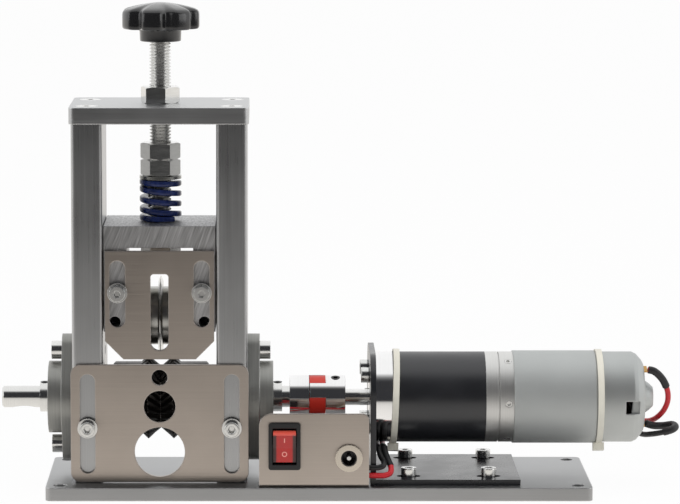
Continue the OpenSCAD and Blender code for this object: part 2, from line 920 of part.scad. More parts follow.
// Guide plate with three wire holes, held by two screws in long slots
module front_guide_plate() {
  color("rosybrown")
    difference() {
      translate([tower_x, guide_back_y, guide_z + guide_h / 2])
        rotate([90, 0, 0])
          round_plate(2 * (tower_half + guide_overhang), guide_h, guide_t, guide_corner_r);
      for (side = [-1, 1])
        upright_slot(guide_slot_w, guide_slot_l, guide_t + 2 * over,
          tower_x + side * guide_slot_x, guide_front_y - over, guide_slot_z);
      for (hole = [[guide_hole_top_d, guide_hole_top_z], [guide_hole_mid_d, guide_hole_mid_z],
          [guide_hole_low_d, guide_hole_low_z]])
        y_bar(hole[0], guide_t + 2 * over, tower_x, guide_front_y - over, hole[1]);
    }
}

// Short cap screws: bracket foot and face, guide and switch plates
module m4_cap_screws() {
  color("silver") {
    for (x = foot_screw_x)
      for (sy = [-1, 1])
        translate([x, sy * foot_screw_y, base_t + bracket_t])
          cap_screw(m4, m4_l);
    for (turn = [45:90:315])
      translate([bracket_x, 0, shaft_z])
        rotate([turn, 0, 0])
          translate([0, 0, face_screw_pcd / 2])
            rotate([0, -90, 0])
              cap_screw(m4, m4_l);
    for (side = [-1, 1])
      translate([tower_x + side * guide_slot_x, guide_front_y - washer_t, guide_screw_z])
        rotate([90, 0, 0])
          cap_screw(m4, m4_l);
    for (side = [-1, 1])
      translate([panel_x + side * panel_screw_span / 2, panel_screw_y, base_t + panel_t])
        cap_screw(m4, m4_l);
  }
}

// Washers under the guide plate's screws
module guide_plate_washers() {
  color("gainsboro")
    for (side = [-1, 1])
      translate([tower_x + side * guide_slot_x, guide_front_y, guide_screw_z])
        rotate([90, 0, 0])
          washer(washer_d, m4[0] + 2 * seat, washer_t);
}

// Lobed hand knob on the pressure screw
module star_knob() {
  color("black")
    translate([tower_x, 0, knob_z])
      difference() {
        union() {
          cylinder(d = knob_hub_d, h = knob_hub_h + over, $fn = round_fn);
          intersection() {
            translate([0, 0, knob_hub_h])
              difference() {
                cylinder(d = knob_d, h = knob_rim_h + knob_dome_h, $fn = round_fn);
                for (i = [0:knob_lobes - 1])
                  rotate([0, 0, 360 * (i + 0.5) / knob_lobes])
                    translate([knob_d / 2 + knob_notch_out, 0, -over])
                      cylinder(d = knob_notch_d,
                        h = knob_rim_h + knob_dome_h + 2 * over,
                        $fn = small_fn);
              }
            knob_turned();
          }
        }
        translate([0, 0, -over])
          cylinder(d = screw_d + 2 * fit, h = screw_top_z - knob_z + over + fit,
            $fn = round_fn);
      }
}

// Turned outline of the knob's lobed part: flat rim and low dome
module knob_turned() {
  knob_r = knob_d / 2;
  dome_r = (pow(knob_r, 2) + pow(knob_dome_h, 2)) / (2 * knob_dome_h);
  intersection() {
    translate([0, 0, knob_hub_h + knob_rim_h + knob_dome_h - dome_r])
      sphere(r = dome_r, $fn = round_fn);
    rotate_extrude($fn = round_fn)
      polygon([[0, knob_hub_h], [knob_r - knob_edge_r, knob_hub_h],
        [knob_r, knob_hub_h + knob_edge_r], [knob_r, knob_hub_h + knob_rim_h + knob_dome_h],
        [0, knob_hub_h + knob_rim_h + knob_dome_h]]);
  }
}

// Pressure screw from inside the yoke up into the knob
module pressure_screw() {
  color("darkgray")
    translate([tower_x, 0, screw_end_z])
      cylinder(d = screw_d, h = screw_top_z - screw_end_z, $fn = round_fn);
}

// Two nuts locked together over the spring and one nut under the bridge
module screw_nuts() {
  color("silver")
    for (z = [retaining_nut_z, jam_nut_z, jam_nut_z + nut_h])
      translate([tower_x, 0, z])
        rotate([0, 0, jam_nut_turn])
          hex_nut(nut_af, nut_h, screw_d + 2 * fit);
}

// Nut that locks the pressure screw on the top plate
module lock_nut() {
  color("silver")
    translate([tower_x, 0, top_z])
      rotate([0, 0, lock_nut_turn])
        hex_nut(nut_af, nut_h, screw_d + 2 * fit);
}

// Washer between the nuts and the spring
module spring_seat() {
  color("gainsboro")
    translate([tower_x, 0, spring_seat_z])
      washer(spring_d, screw_d + 2 * gap, spring_seat_t);
}

// Height of the spring's centre line after a share of its turns
function spring_rise(share) =
  let (ends = spring_ground_share / spring_turns)
  let (free = spring_h - spring_coil_h - 2 * (spring_coil_h + gap * 2) * spring_ground_share)
  let (low = (spring_coil_h + gap * 2) * spring_ground_share)
  share < ends ? low * share / ends
  : share > 1 - ends ? low + free + low * (share - 1 + ends) / ends
  : low + free * (share - ends) / (1 - 2 * ends);

// Corner of the spring wire's section: flattened hexagon
function spring_corner(k) =
  [spring_coil_w / 2 * [-1, -0.8, 0.8, 1, 0.8, -0.8][k],
    spring_coil_h / 2 * [0, 1, 1, 0, -1, -1][k]];

// Point k of ring i along the spring
function spring_point(i, k) =
  let (share = i / (spring_turns * spring_rings))
  let (turn = 360 * spring_turns * share)
  let (r = spring_d / 2 - spring_coil_w / 2 + spring_corner(k)[0])
  [r * cos(turn), r * sin(turn), spring_coil_h / 2 + spring_rise(share) + spring_corner(k)[1]];

// Least clear height between one curl and the next
spring_self_gap = min([for (i = [0:(spring_turns - 1) * spring_rings])
  spring_rise((i + spring_rings) / (spring_turns * spring_rings))
    - spring_rise(i / (spring_turns * spring_rings)) - spring_coil_h]);
echo(spring_self_gap = spring_self_gap);

// Faces that join rings of points into one closed tube
function tube_faces(rings, sides) = concat(
  [[for (k = [0:sides - 1]) k]],
  [for (i = [0:rings - 2]) for (k = [0:sides - 1]) for (half = [0, 1])
    let (a = i * sides + k)
    let (b = i * sides + (k + 1) % sides)
    half == 0 ? [a, a + sides, b] : [b, a + sides, b + sides]],
  [[for (k = [sides - 1:-1:0]) (rings - 1) * sides + k]]);

// Die spring between its seat and the yoke, wound from flat wire
module pressure_spring() {
  rings = spring_turns * spring_rings + 1;
  color("royalblue")
    translate([tower_x, 0, yoke_top_z])
      polyhedron(points = [for (i = [0:rings - 1]) for (k = [0:spring_sides - 1])
        spring_point(i, k)], faces = tube_faces(rings, spring_sides), convexity = 10);
}

// Sliding block that straddles the blade and runs between the columns
module yoke() {
  color("darkgray")
    difference() {
      translate([tower_x - yoke_w / 2, yoke_front_y, yoke_z])
        cube([yoke_w, yoke_d, yoke_h]);
      translate([tower_x - leg_inner_x, yoke_front_y - over, yoke_z - over])
        cube([2 * leg_inner_x, yoke_d + 2 * over, yoke_h - yoke_bridge_t + over]);
      translate([tower_x, 0, yoke_top_z - yoke_bridge_t - over])
        cylinder(d = bridge_hole_d, h = yoke_bridge_t + 2 * over, $fn = round_fn);
      x_bar(axle_d + 2 * fit, yoke_w + 2 * over, tower_x - yoke_w / 2 - over, 0, axle_z,
        small_fn);
      for (side = [-1, 1]) {
        y_bar(m5[0] + 2 * seat, yoke_d / 2 + over, tower_x + side * leg_x,
          yoke_front_y - over, axle_z, small_fn);
        y_bar(m4[0] + 2 * seat, tap_depth / 2 + over, tower_x + side * guard_slot_x,
          yoke_front_y - over, guard_screw_z, small_fn);
      }
    }
}

// Front guard plate with a window on the blade
module blade_guard() {
  half = yoke_w / 2 - guard_inset;
  color("rosybrown")
    difference() {
      translate([tower_x, yoke_front_y, guard_z])
        rotate([90, 0, 0])
          linear_extrude(guard_t)
            polygon([[-half + guard_corner, 0], [half - guard_corner, 0],
              [half, guard_corner], [half, guard_h], [-half, guard_h],
              [-half, guard_corner]]);
      for (side = [-1, 1])
        upright_slot(guard_slot_w, guard_slot_l, guard_t + 2 * over,
          tower_x + side * guard_slot_x, yoke_front_y - guard_t - over, guard_slot_z);
      y_bar(window_w, guard_t + 2 * over, tower_x, yoke_front_y - guard_t - over,
        window_z + window_w / 2);
      translate([tower_x, yoke_front_y + over, window_z + (window_l + window_w / 2) / 2])
        rotate([90, 0, 0])
          round_plate(window_w, window_l - window_w / 2, guard_t + 2 * over, window_top_r);
    }
}

// Cap screws and washers that hold the guard plate
module blade_guard_screws() {
  color("silver")
    for (side = [-1, 1])
      translate([tower_x + side * guard_slot_x, yoke_front_y - guard_t, guard_screw_z])
        rotate([90, 0, 0]) {
          washer(washer_d, m4[0] + 2 * seat, washer_t);
          translate([0, 0, washer_t])
            cap_screw(m4, m4_l);
        }
}

// Round slitting blade with a bevelled edge
module blade() {
  r = blade_d / 2;
  color("lightgray")
    translate([tower_x, 0, axle_z])
      along_x()
        rotate_extrude($fn = round_fn)
          polygon([[hub_d / 2 + fit, -blade_t / 2], [r - blade_bevel_r, -blade_t / 2],
            [r, -blade_edge_t / 2], [r, blade_edge_t / 2],
            [r - blade_bevel_r, blade_t / 2], [hub_d / 2 + fit, blade_t / 2]]);
}

// Two flanges that clamp the blade; the left one has the hub
module blade_flanges() {
  end = leg_inner_x - gap;
  seat_x = end - bearing_l;
  bore_r = axle_d / 2 + bearing_bore_gap;
  bearing_r = bearing_d / 2 + fit;
  color("gainsboro")
    translate([tower_x, 0, axle_z])
      along_x() {
        rotate_extrude($fn = round_fn)
          polygon([[bore_r, hub_reach], [hub_d / 2, hub_reach], [hub_d / 2, -blade_t / 2],
            [flange_d / 2, -blade_t / 2], [flange_d / 2, -blade_t / 2 - flange_l],
            [neck_d / 2, -blade_t / 2 - flange_l], [neck_d / 2, -end],
            [bearing_r, -end], [bearing_r, -seat_x], [bore_r, -seat_x]]);
        rotate_extrude($fn = round_fn)
          polygon([[hub_d / 2 + fit, blade_t / 2], [flange_d / 2, blade_t / 2],
            [flange_d / 2, blade_t / 2 + flange_l], [neck_d / 2, blade_t / 2 + flange_l],
            [neck_d / 2, end], [bearing_r, end], [bearing_r, seat_x],
            [bore_r, seat_x], [bore_r, hub_reach + gap],
            [hub_d / 2 + fit, hub_reach + gap]]);
      }
}

// Ball bearings of the blade, drawn as closed rings
module blade_bearings() {
  color("silver")
    for (side = [-1, 1])
      translate([tower_x + side * (leg_inner_x - gap - bearing_l / 2), 0, axle_z])
        along_x()
          difference() {
            cylinder(d = bearing_d, h = bearing_l, center = true, $fn = round_fn);
            cylinder(d = axle_d + 2 * fit, h = bearing_l + 2 * over, center = true,
              $fn = round_fn);
          }
}

// Fixed axle through both legs of the yoke
module blade_axle() {
  color("silver")
    x_bar(axle_d, yoke_w - 2 * gap, tower_x - yoke_w / 2 + gap, 0, axle_z);
}

// Headless screws that hold the axle in the yoke's legs
module axle_set_screws() {
  color("dimgray")
    for (side = [-1, 1])
      translate([tower_x + side * leg_x, -axle_d / 2 - fit - set_screw_l, axle_z])
        rotate([90, 0, 0])
          set_screw(m5[0], set_screw_l, m5[3] * 0.6);
}

// Bent steel bracket: upright face plate and slotted foot
module motor_bracket() {
  color("black")
    difference() {
      union() {
        translate([bracket_x, -bracket_w / 2, base_t])
          cube([bracket_foot_l, bracket_w, bracket_t]);
        translate([bracket_x, -bracket_w / 2, base_t])
          cube([bracket_t, bracket_w, bracket_h - bracket_corner_r]);
        translate([bracket_x, -bracket_w / 2 + bracket_corner_r, base_t])
          cube([bracket_t, bracket_w - 2 * bracket_corner_r, bracket_h]);
        for (sy = [-1, 1])
          x_bar(2 * bracket_corner_r, bracket_t, bracket_x,
            sy * (bracket_w / 2 - bracket_corner_r), base_t + bracket_h - bracket_corner_r);
      }
      x_bar(bracket_bore_d, bracket_t + 2 * over, bracket_x - over, 0, shaft_z);
      for (turn = [45:90:315])
        translate([0, 0, shaft_z])
          rotate([turn, 0, 0])
            x_bar(m4[0] + 2 * seat, bracket_t + 2 * over, bracket_x - over, 0,
              face_screw_pcd / 2, small_fn);
      for (x = foot_screw_x)
        for (sy = [-1, 1])
          translate([x, sy * foot_screw_y, base_t - over]) {
            for (end = [-1, 1])
              translate([end * (foot_slot_l - foot_slot_w) / 2, 0, 0])
                cylinder(d = foot_slot_w, h = bracket_t + 2 * over, $fn = small_fn);
            translate([-(foot_slot_l - foot_slot_w) / 2, -foot_slot_w / 2, 0])
              cube([foot_slot_l - foot_slot_w, foot_slot_w, bracket_t + 2 * over]);
          }
    }
}

// Polished front cover of the gearbox with its pilot and bearing seat
module gearbox_front_cover() {
  cover_end = front_cover_l;
  color("gainsboro")
    translate([cover_x, 0, shaft_z])
      along_x()
        difference() {
          union() {
            cylinder(d = gearbox_d, h = cover_end, $fn = round_fn);
            translate([0, 0, -bracket_t])
              cylinder(d = pilot_d, h = bracket_t + over, $fn = round_fn);
          }
          translate([0, 0, -bracket_t - over])
            cylinder(d = output_d + 2 * gap, h = cover_end + bracket_t + 2 * over,
              $fn = round_fn);
          translate([0, 0, cover_end - output_bearing_l - gap])
            cylinder(d = output_bearing_d + 2 * fit, h = output_bearing_l + gap + over,
              $fn = round_fn);
          for (turn = [45:90:315])
            rotate([0, 0, turn])
              translate([face_screw_pcd / 2, 0, -over])
                cylinder(d = m4[0] + 2 * seat, h = m4_l - bracket_t + gap + over,
                  $fn = small_fn);
        }
}

// Ball bearing of the output shaft, drawn as a closed ring
module output_bearing() {
  color("silver")
    translate([sleeve_x - output_bearing_l - gap, 0, shaft_z])
      along_x()
        difference() {
          cylinder(d = output_bearing_d, h = output_bearing_l, $fn = round_fn);
          translate([0, 0, -over])
            cylinder(d = output_d + 2 * fit, h = output_bearing_l + 2 * over,
              $fn = round_fn);
        }
}

// Carrier disc with three pins, drawn from its left face
module carrier(pin_l) {
  cylinder(d = carrier_d, h = carrier_t, $fn = round_fn);
  for (i = [0:planet_count - 1])
    rotate([0, 0, 360 * i / planet_count])
      translate([planet_r, 0, 0])
        cylinder(d = planet_pin_d, h = carrier_t + side_play + pin_l, $fn = small_fn);
}

// Output shaft with its flat, in one piece with the last carrier
module output_shaft() {
  color("gainsboro") {
    difference() {
      x_bar(output_d, output_carrier_x - output_left_x + over, output_left_x, 0, shaft_z);
      translate([output_left_x - over, -output_d / 2, shaft_z + output_d / 2 - output_flat])
        cube([cover_x - bracket_t - output_left_x - over, output_d, output_d]);
    }
    translate([output_carrier_x, 0, shaft_z])
      along_x()
        carrier(output_planet_l);
  }
}

// Black sleeve of the gearbox with the ring teeth cut along its bore
module ring_gear() {
  color("black")
    translate([sleeve_x, 0, shaft_z])
      along_x()
        difference() {
          cylinder(d = gearbox_d, h = sleeve_l, $fn = round_fn);
          translate([0, 0, -over])
            ring_opening(sleeve_l + 2 * over);
        }
}

// One planet gear on its carrier pin, turned so that it meshes at rest
module planet(index, x, l) {
  color("goldenrod")
    translate([x, 0, shaft_z])
      along_x()
        rotate([0, 0, 360 * index / planet_count])
          translate([planet_r, 0, 0])
            rotate([0, 0, 180 / planet_teeth])
              gear(planet_teeth, l, planet_pin_d + 2 * fit);
}

// Carrier of the first stage with the second stage's sun gear
module first_carrier() {
  sun_l = output_planet_l - side_play;
  color("gainsboro")
    translate([0, 0, shaft_z])
      along_x() {
        translate([0, 0, first_carrier_x])
          carrier(input_planet_l);
        translate([0, 0, first_carrier_x - side_play - sun_l])
          sun_gear(sun_l + side_play + over);
      }
}

// Solid sun gear of the stated length
module sun_gear(l) {
  pitch_r = gear_module * sun_teeth / 2;
  tooth = PI * gear_module / 2 - tooth_backlash / 2;
  linear_extrude(l)
    polygon(gear_points(sun_teeth, pitch_r + gear_module * addendum_share,
      pitch_r - gear_module * dedendum_share, pitch_r, tooth));
}

// Silver ring that closes the gearbox, stepped down to a groove
module gearbox_rear_plate() {
  color("gainsboro")
    translate([rear_plate_x, 0, shaft_z])
      along_x()
        difference() {
          union() {
            cylinder(d = gearbox_d, h = rear_plate_l - ring_groove_w, $fn = round_fn);
            cylinder(d = gearbox_d - 2 * ring_groove_depth, h = rear_plate_l,
              $fn = round_fn);
          }
          translate([0, 0, -over])
            cylinder(d = motor_shaft_d + 2 * gap, h = rear_plate_l + 2 * over,
              $fn = round_fn);
        }
}

// Front plate of the motor with the shaft's bush
module motor_front_plate() {
  color("gainsboro")
    difference() {
      x_bar(gearbox_d, motor_plate_l, motor_plate_x, 0, shaft_z);
      x_bar(motor_shaft_d + 2 * fit, motor_plate_l + 2 * over, motor_plate_x - over, 0, shaft_z);
      at_ring_screws()
        translate([0, 0, -ring_screw_d])
          cylinder(d = ring_screw_d + 2 * seat, h = ring_screw_d + over, $fn = small_fn);
    }
}

// Places a child, drawn outwards, at each screw round the front plate
module at_ring_screws() {
  for (i = [0:ring_screw_count - 1])
    translate([motor_plate_x + motor_plate_l * 0.6, 0, shaft_z])
      rotate([90 + 360 * i / ring_screw_count, 0, 0])
        translate([0, 0, gearbox_d / 2])
          children();
}

// Small screws round the motor's front plate
module ring_screws() {
  color("dimgray")
    at_ring_screws()
      set_screw(ring_screw_d, ring_screw_d - gap, ring_screw_d / 2);
}

// Motor can, a plain steel tube
module motor_can() {
  color("darkgray")
    difference() {
      x_bar(motor_d, motor_can_l, motor_can_x, 0, shaft_z);
      x_bar(motor_d - 2 * can_wall, motor_can_l + 2 * over, motor_can_x - over, 0, shaft_z);
    }
}

// Two arc magnets inside the can
module motor_magnets() {
  outer_d = motor_d - 2 * can_wall - 2 * fit;
  color("dimgray")
    for (turn = [0, 180])
      translate([armature_x, 0, shaft_z])
        rotate([turn, 0, 0])
          along_x()
            intersection() {
              difference() {
                cylinder(d = outer_d, h = armature_l, $fn = round_fn);
                translate([0, 0, -over])
                  cylinder(d = outer_d - 2 * magnet_t, h = armature_l + 2 * over,
                    $fn = round_fn);
              }
              wedge(magnet_angle, outer_d / 2, armature_l);
            }
}

// Metal end cap with a bevelled shoulder, two vents and the rear boss
module motor_end_cap() {
  r = cap_d / 2;
  inner_r = r - cap_wall;
  face_r = r - cap_shoulder;
  color("darkgray")
    difference() {
      translate([end_cap_x, 0, shaft_z])
        along_x()
          rotate_extrude($fn = round_fn)
            polygon([[inner_r, 0], [r, 0], [r, end_cap_l - cap_shoulder],
              [r - cap_shoulder * 0.18, end_cap_l - cap_shoulder * 0.62],
              [r - cap_shoulder * 0.7, end_cap_l - cap_shoulder * 0.16],
              [face_r, end_cap_l], [boss_d / 2, end_cap_l],
              [boss_d * 0.36, end_cap_l + boss_l * 0.68],
              [boss_d * 0.27, end_cap_l + boss_l],
              [motor_shaft_d / 2 + fit, end_cap_l + boss_l],
              [motor_shaft_d / 2 + fit, end_cap_l - cap_wall],
              [face_r - cap_wall, end_cap_l - cap_wall],
              [inner_r, end_cap_l - cap_shoulder - cap_wall]]);
      for (side = [-1, 1])
        translate([end_cap_end_x - vent_inset - vent_w, side * r - cap_shoulder / 2,
            shaft_z - vent_drop])
          cube([vent_w, cap_shoulder, vent_h]);
      for (side = [-1, 1])
        translate([end_cap_end_x - cap_wall - over, 0, shaft_z])
          rotate([terminal_turn, 0, 0])
            translate([0, -terminal_w / 2 - seat, side * terminal_r - terminal_t / 2 - seat])
              cube([cap_wall + 2 * over, terminal_w + 2 * seat,
                terminal_t + 2 * seat]);
    }
}

// Motor shaft with the first pinion cut on its end
module motor_shaft() {
  pinion_x = input_planet_x + side_play;
  color("gainsboro")
    translate([0, 0, shaft_z])
      along_x() {
        translate([0, 0, pinion_x])
          sun_gear(pinion_end_x - pinion_x);
        translate([0, 0, pinion_end_x])
          cylinder(d = motor_shaft_d, h = end_cap_end_x + boss_l - cap_wall - pinion_end_x,
            $fn = round_fn);
      }
}

// Laminated core with its winding heads and the commutator
module armature() {
  bore = motor_shaft_d + 2 * fit;
  translate([armature_x, 0, shaft_z])
    along_x() {
      color("dimgray")
        difference() {
          cylinder(d = armature_d, h = armature_l, $fn = round_fn);
          translate([0, 0, -over])
            cylinder(d = bore, h = armature_l + 2 * over, $fn = round_fn);
          for (i = [0:armature_slots - 1])
            rotate([0, 0, 360 * i / armature_slots])
              translate([armature_d / 2 - slot_depth, -slot_w / 2, -over])
                cube([slot_depth + over, slot_w, armature_l + 2 * over]);
        }
      color("chocolate")
        for (z = [-winding_l, armature_l])
          translate([0, 0, z])
            washer(armature_d - 2 * can_wall, bore, winding_l);
      color("goldenrod")
        translate([0, 0, armature_l + winding_l + side_play])
          washer(commutator_d, bore, commutator_l);
    }
}

// Brushes on the commutator, each with its terminal strip
module brush_terminals() {
  brush_x = armature_x + armature_l + winding_l + side_play + commutator_l / 2;
  inner_r = commutator_d / 2 + gap;
  color("goldenrod")
    translate([0, 0, shaft_z])
      rotate([terminal_turn, 0, 0])
        for (side = [-1, 1])
          mirror([0, 0, side < 0 ? 1 : 0]) {
            translate([brush_x - brush_w / 2, -brush_h / 2, inner_r])
              cube([brush_w, brush_h, terminal_r - inner_r]);
            translate([brush_x - brush_w / 2, -terminal_w / 2,
                terminal_r - terminal_t / 2])
              cube([end_cap_end_x + terminal_out - brush_x + brush_w / 2,
                terminal_w, terminal_t]);
          }
}

// Nylon ties round the body and the two leads behind it
module cable_ties() {
  color("cornsilk") {
    tie(tie_front_x, gearbox_d / 2 + tie_play, tie_tilt);
    tie(tie_rear_x, cap_d / 2 + fit, 0);
  }
}

// One tie: a band drawn out round the leads, and its square head
module tie(x, r, tilt) {
  lead_reach = lead_d / 2 + fit;
  translate([x, 0, shaft_z])
    rotate([0, tilt, 0])
      along_x() {
        translate([0, 0, -tie_w / 2])
          difference() {
            linear_extrude(tie_w)
              tie_outline(r + tie_t, lead_reach + tie_t);
            translate([0, 0, -over])
              linear_extrude(tie_w + 2 * over)
                tie_outline(r, lead_reach);
          }
        rotate([0, 0, tie_head_turn])
          translate([r + tie_t / 2, -tie_head / 2, -tie_head / 2])
            cube([tie_head * 0.7, tie_head, tie_head]);
      }
}

// Outline of the band's inner or outer face
module tie_outline(r, lead_r) {
  hull() {
    circle(r = r, $fn = round_fn);
    for (z = [red_back_z, black_back_z])
      translate([shaft_z - z, lead_back_y])
        circle(r = lead_r, $fn = small_fn / 2);
  }
}

function unit(v) = v / norm(v);
function line_direction(p, i) = unit(p[min(i + 1, len(p) - 1)] - p[max(i - 1, 0)]);

// Round tube along a line of points, wider from ring sleeve[0] to sleeve[1]
module lead_tube(line, sleeve) {
  rings = len(line);
  frame = lead_frame(line, 1, [unit(cross(line_direction(line, 0), [0.1, 0.2, 1]))]);
  polyhedron(points = [for (i = [0:rings - 1]) for (k = [0:wire_fn - 1])
    let (side = frame[i])
    let (up = cross(line_direction(line, i), side))
    let (r = (i >= sleeve[0] && i < sleeve[1] ? sleeved_d : lead_d) / 2)
    line[i] + r * (side * cos(-360 * k / wire_fn) + up * sin(-360 * k / wire_fn))],
    faces = tube_faces(rings, wire_fn), convexity = 10);
}

// Sideways directions carried along a line without twist
function lead_frame(line, i, done) =
  i >= len(line) ? done
  : let (dir = line_direction(line, i))
   let (last = done[i - 1])
   lead_frame(line, i + 1, concat(done, [unit(last - dir * (last * dir))]));

// Red lead: top terminal, round the back, under the gearbox, switch
red_route = [[152.8, -5, 55.2], [156, -4.6, 54.3], [159.6, -3.2, 50.8], [161.9, -1.6, 46.4],
  [162.9, 0, 42.2], [162.6, 2, 38], [160.8, 5.5, 33.4], [157.5, 11, 29.2], [153.4, 17.6, 27.4],
  [147.5, 22.4, 29.6], [141, 23.4, 33.4], [134, 23.4, 34], [38, 23.4, 34], [32.6, 23.5, 34],
  [30.8, 25.2, 32.4], [30.3, 26.3, 28.8], [30.3, 25.6, 24.6], [30.3, 21.6, 20.2],
  [30.3, 15, 18.2], [30.3, 4, 17.8], [30.3, -6, 18.6], [30.3, -14, 20.6], [30.4, -20, 20.9],
  [30.8, -25, 19.2], [31.8, -28.8, 17], [33, -31.6, 14.4], [32.6, -34.1, 12],
  [29.8, -34.9, 11], [25, -34.8, 11], [20, -34, 11], [10, -31.5, 11.2], [0, -26.5, 12],
  [-6, -20.5, 13.6], [-10.6, -15.4, 15.8], [-13.8, -13.4, 18.2], [-15.6, -14.2, 20.2],
  [-15.8, -17.4, 20.6], [-15.8, -21, 20.6]];

// Black lead: lower terminal, a loop behind the motor, beside the red one
black_route = [[152.8, 5, 28.4], [157, 6.2, 27], [161.6, 7.4, 26.8], [165.6, 6.6, 27.4],
  [166.8, 3.4, 27], [165, 0.2, 26.2], [160.6, -0.4, 25], [155.6, 2.6, 23.6], [151.6, 9, 22.6],
  [147.6, 17.2, 24.2], [141.8, 22.4, 28], [134, 23.4, 30], [38, 23.4, 30], [32.4, 23.4, 30],
  [29.4, 23.4, 28.6], [27.7, 22.6, 25], [27.6, 19.4, 21], [27.6, 14, 18.6], [27.6, 4, 17.8],
  [27.6, -6, 18.6], [27.6, -14, 20.6], [27.7, -20, 20.9], [28, -25, 19.4],
  [28.8, -28.9, 18], [29.8, -31.9, 16.6], [29.2, -34.2, 15.2], [26.6, -34.9, 14.6],
  [23, -34.6, 14.6], [20.4, -31.6, 14.6], [20.2, -26, 15], [19.2, -20.8, 16],
  [16.6, -18, 17.2], [14.2, -18.4, 18], [13.6, -20.6, 18], [13.6, -23, 18]];

// Short lead from the jack to the switch
link_route = [[13.6, -23, 21.6], [13.6, -20, 21.6], [11.4, -17.6, 22.4], [4, -16.4, 24.4],
  [-6, -16, 27], [-12, -15.4, 29], [-15.2, -16.2, 29.8], [-15.8, -18.4, 29.8],
  [-15.8, -21, 29.8]];

module red_lead() {
  color("crimson")
    lead_tube(red_route, [0, 3]);
  color("crimson")
    lead_tube(link_route, [0, 0]);
}

module black_lead() {
  color("black")
    lead_tube(black_route, [0, 6]);
}

// Folded plate for the switch and the jack
module switch_plate() {
  foot_l = panel_foot_d;
  color("rosybrown")
    difference() {
      union() {
        translate([panel_x - panel_w / 2, panel_y + panel_bend_r, base_t])
          cube([panel_w, foot_l - panel_bend_r, panel_t]);
        translate([panel_x - panel_w / 2, panel_y, base_t + panel_bend_r])
          cube([panel_w, panel_t, panel_h - panel_bend_r - panel_left_r]);
        translate([panel_x - panel_w / 2 + panel_left_r, panel_y, base_t + panel_bend_r])
          cube([panel_w - panel_left_r - panel_right_r, panel_t, panel_h - panel_bend_r]);
        translate([panel_x, panel_y, base_t + panel_bend_r])
          cube([panel_w / 2, panel_t, panel_h - panel_bend_r - panel_right_r]);
        y_bar(2 * panel_left_r, panel_t, panel_x - panel_w / 2 + panel_left_r, panel_y,
          base_t + panel_h - panel_left_r);
        y_bar(2 * panel_right_r, panel_t, panel_x + panel_w / 2 - panel_right_r, panel_y,
          base_t + panel_h - panel_right_r);
        intersection() {
          x_bar(2 * panel_bend_r, panel_w, panel_x - panel_w / 2, panel_y + panel_bend_r,
            base_t + panel_bend_r);
          translate([panel_x - panel_w / 2, panel_y, base_t])
            cube([panel_w, panel_bend_r, panel_bend_r]);
        }
      }
      translate([switch_x - switch_w / 2 + switch_neck - seat, panel_y - over,
          switch_z - switch_h / 2 + switch_neck - seat])
        cube([switch_w - 2 * switch_neck + 2 * seat, panel_t + 2 * over,
          switch_h - 2 * switch_neck + 2 * seat]);
      y_bar(jack_barrel_d + 2 * seat, panel_t + 2 * over, jack_x, panel_y - over, jack_z);
      for (side = [-1, 1])
        translate([panel_x + side * panel_screw_span / 2, panel_screw_y, base_t - over])
          cylinder(d = m4[0] + 2 * seat, h = panel_t + 2 * over, $fn = small_fn);
    }
}

// Frame and housing of the rocker switch
module switch_body() {
  neck_w = switch_w - 2 * switch_neck;
  neck_h = switch_h - 2 * switch_neck;
  pocket_w = rocker_w + 2 * gap;
  pocket_h = rocker_h + 4 * gap;
  color("black")
    difference() {
      union() {
        translate([switch_x, panel_y, switch_z])
          rotate([90, 0, 0])
            round_plate(switch_w, switch_h, switch_frame_t, switch_frame_r);
        translate([switch_x - neck_w / 2, panel_y - over / 2, switch_z - neck_h / 2])
          cube([neck_w, switch_depth, neck_h]);
        for (z = [-neck_h / 4, neck_h / 4])
          translate([switch_x - switch_tab[0] / 2, panel_y + switch_depth - over,
              switch_z + z - switch_tab[2] / 2])
            cube([switch_tab[0], switch_tab[1] + over, switch_tab[2]]);
      }
      translate([switch_x - pocket_w / 2, panel_y - switch_frame_t - over,
          switch_z - pocket_h / 2])
        cube([pocket_w, switch_frame_t + over + rocker_pocket_depth, pocket_h]);
      x_bar(rocker_pin_d + 2 * fit, neck_w + 2 * over, switch_x - neck_w / 2 - over,
        rocker_pin_y, switch_z, small_fn);
    }
}

// Rocker, tilted at rest with its lower end pressed in
module switch_rocker() {
  half = rocker_h / 2;
  front = panel_y - switch_frame_t - rocker_pin_y;
  color("red")
    translate([switch_x, rocker_pin_y, switch_z])
      rotate([rocker_tilt, 0, 0]) {
        translate([-rocker_w / 2, 0, 0])
          rotate([90, 0, 90])
            linear_extrude(rocker_w)
              polygon([[front - rocker_lift, half * 0.82], [front, 0],
                [front - rocker_lift, -half * 0.82], [front * 0.4, -half],
                [rocker_pin_d, -half * 0.45], [rocker_pin_d, half * 0.45],
                [front * 0.4, half]]);
        x_bar(rocker_pin_d, rocker_w + 2 * rocker_pin_d * 0.4,
          -rocker_w / 2 - rocker_pin_d * 0.4, 0, 0, small_fn);
      }
}

// How far the rocker's ends stand over its middle
rocker_lift = 1.1;

// Socket for the power plug: steel ring and barrel, black core, centre pin
module power_jack() {
  translate([jack_x, panel_y, jack_z]) {
    color("gainsboro")
      difference() {
        union() {
          y_bar(jack_ring_d, jack_flange_t, 0, -jack_flange_t);
          y_bar(jack_barrel_d, jack_l);
        }
        y_bar(jack_socket_d + 2 * jack_core_t, jack_l + jack_flange_t + 2 * over, 0,
          -jack_flange_t - over);
      }
    color("black")
      difference() {
        y_bar(jack_socket_d + 2 * jack_core_t - 2 * seat, jack_l + jack_flange_t, 0,
          -jack_flange_t);
        y_bar(jack_socket_d, jack_l * 0.6 + jack_flange_t, 0, -jack_flange_t - over);
      }
    color("silver")
      y_bar(jack_pin_d, jack_l * 0.6, 0, -over, 0, small_fn);
  }
}

// Wall of the jack's black core
jack_core_t = 0.5;

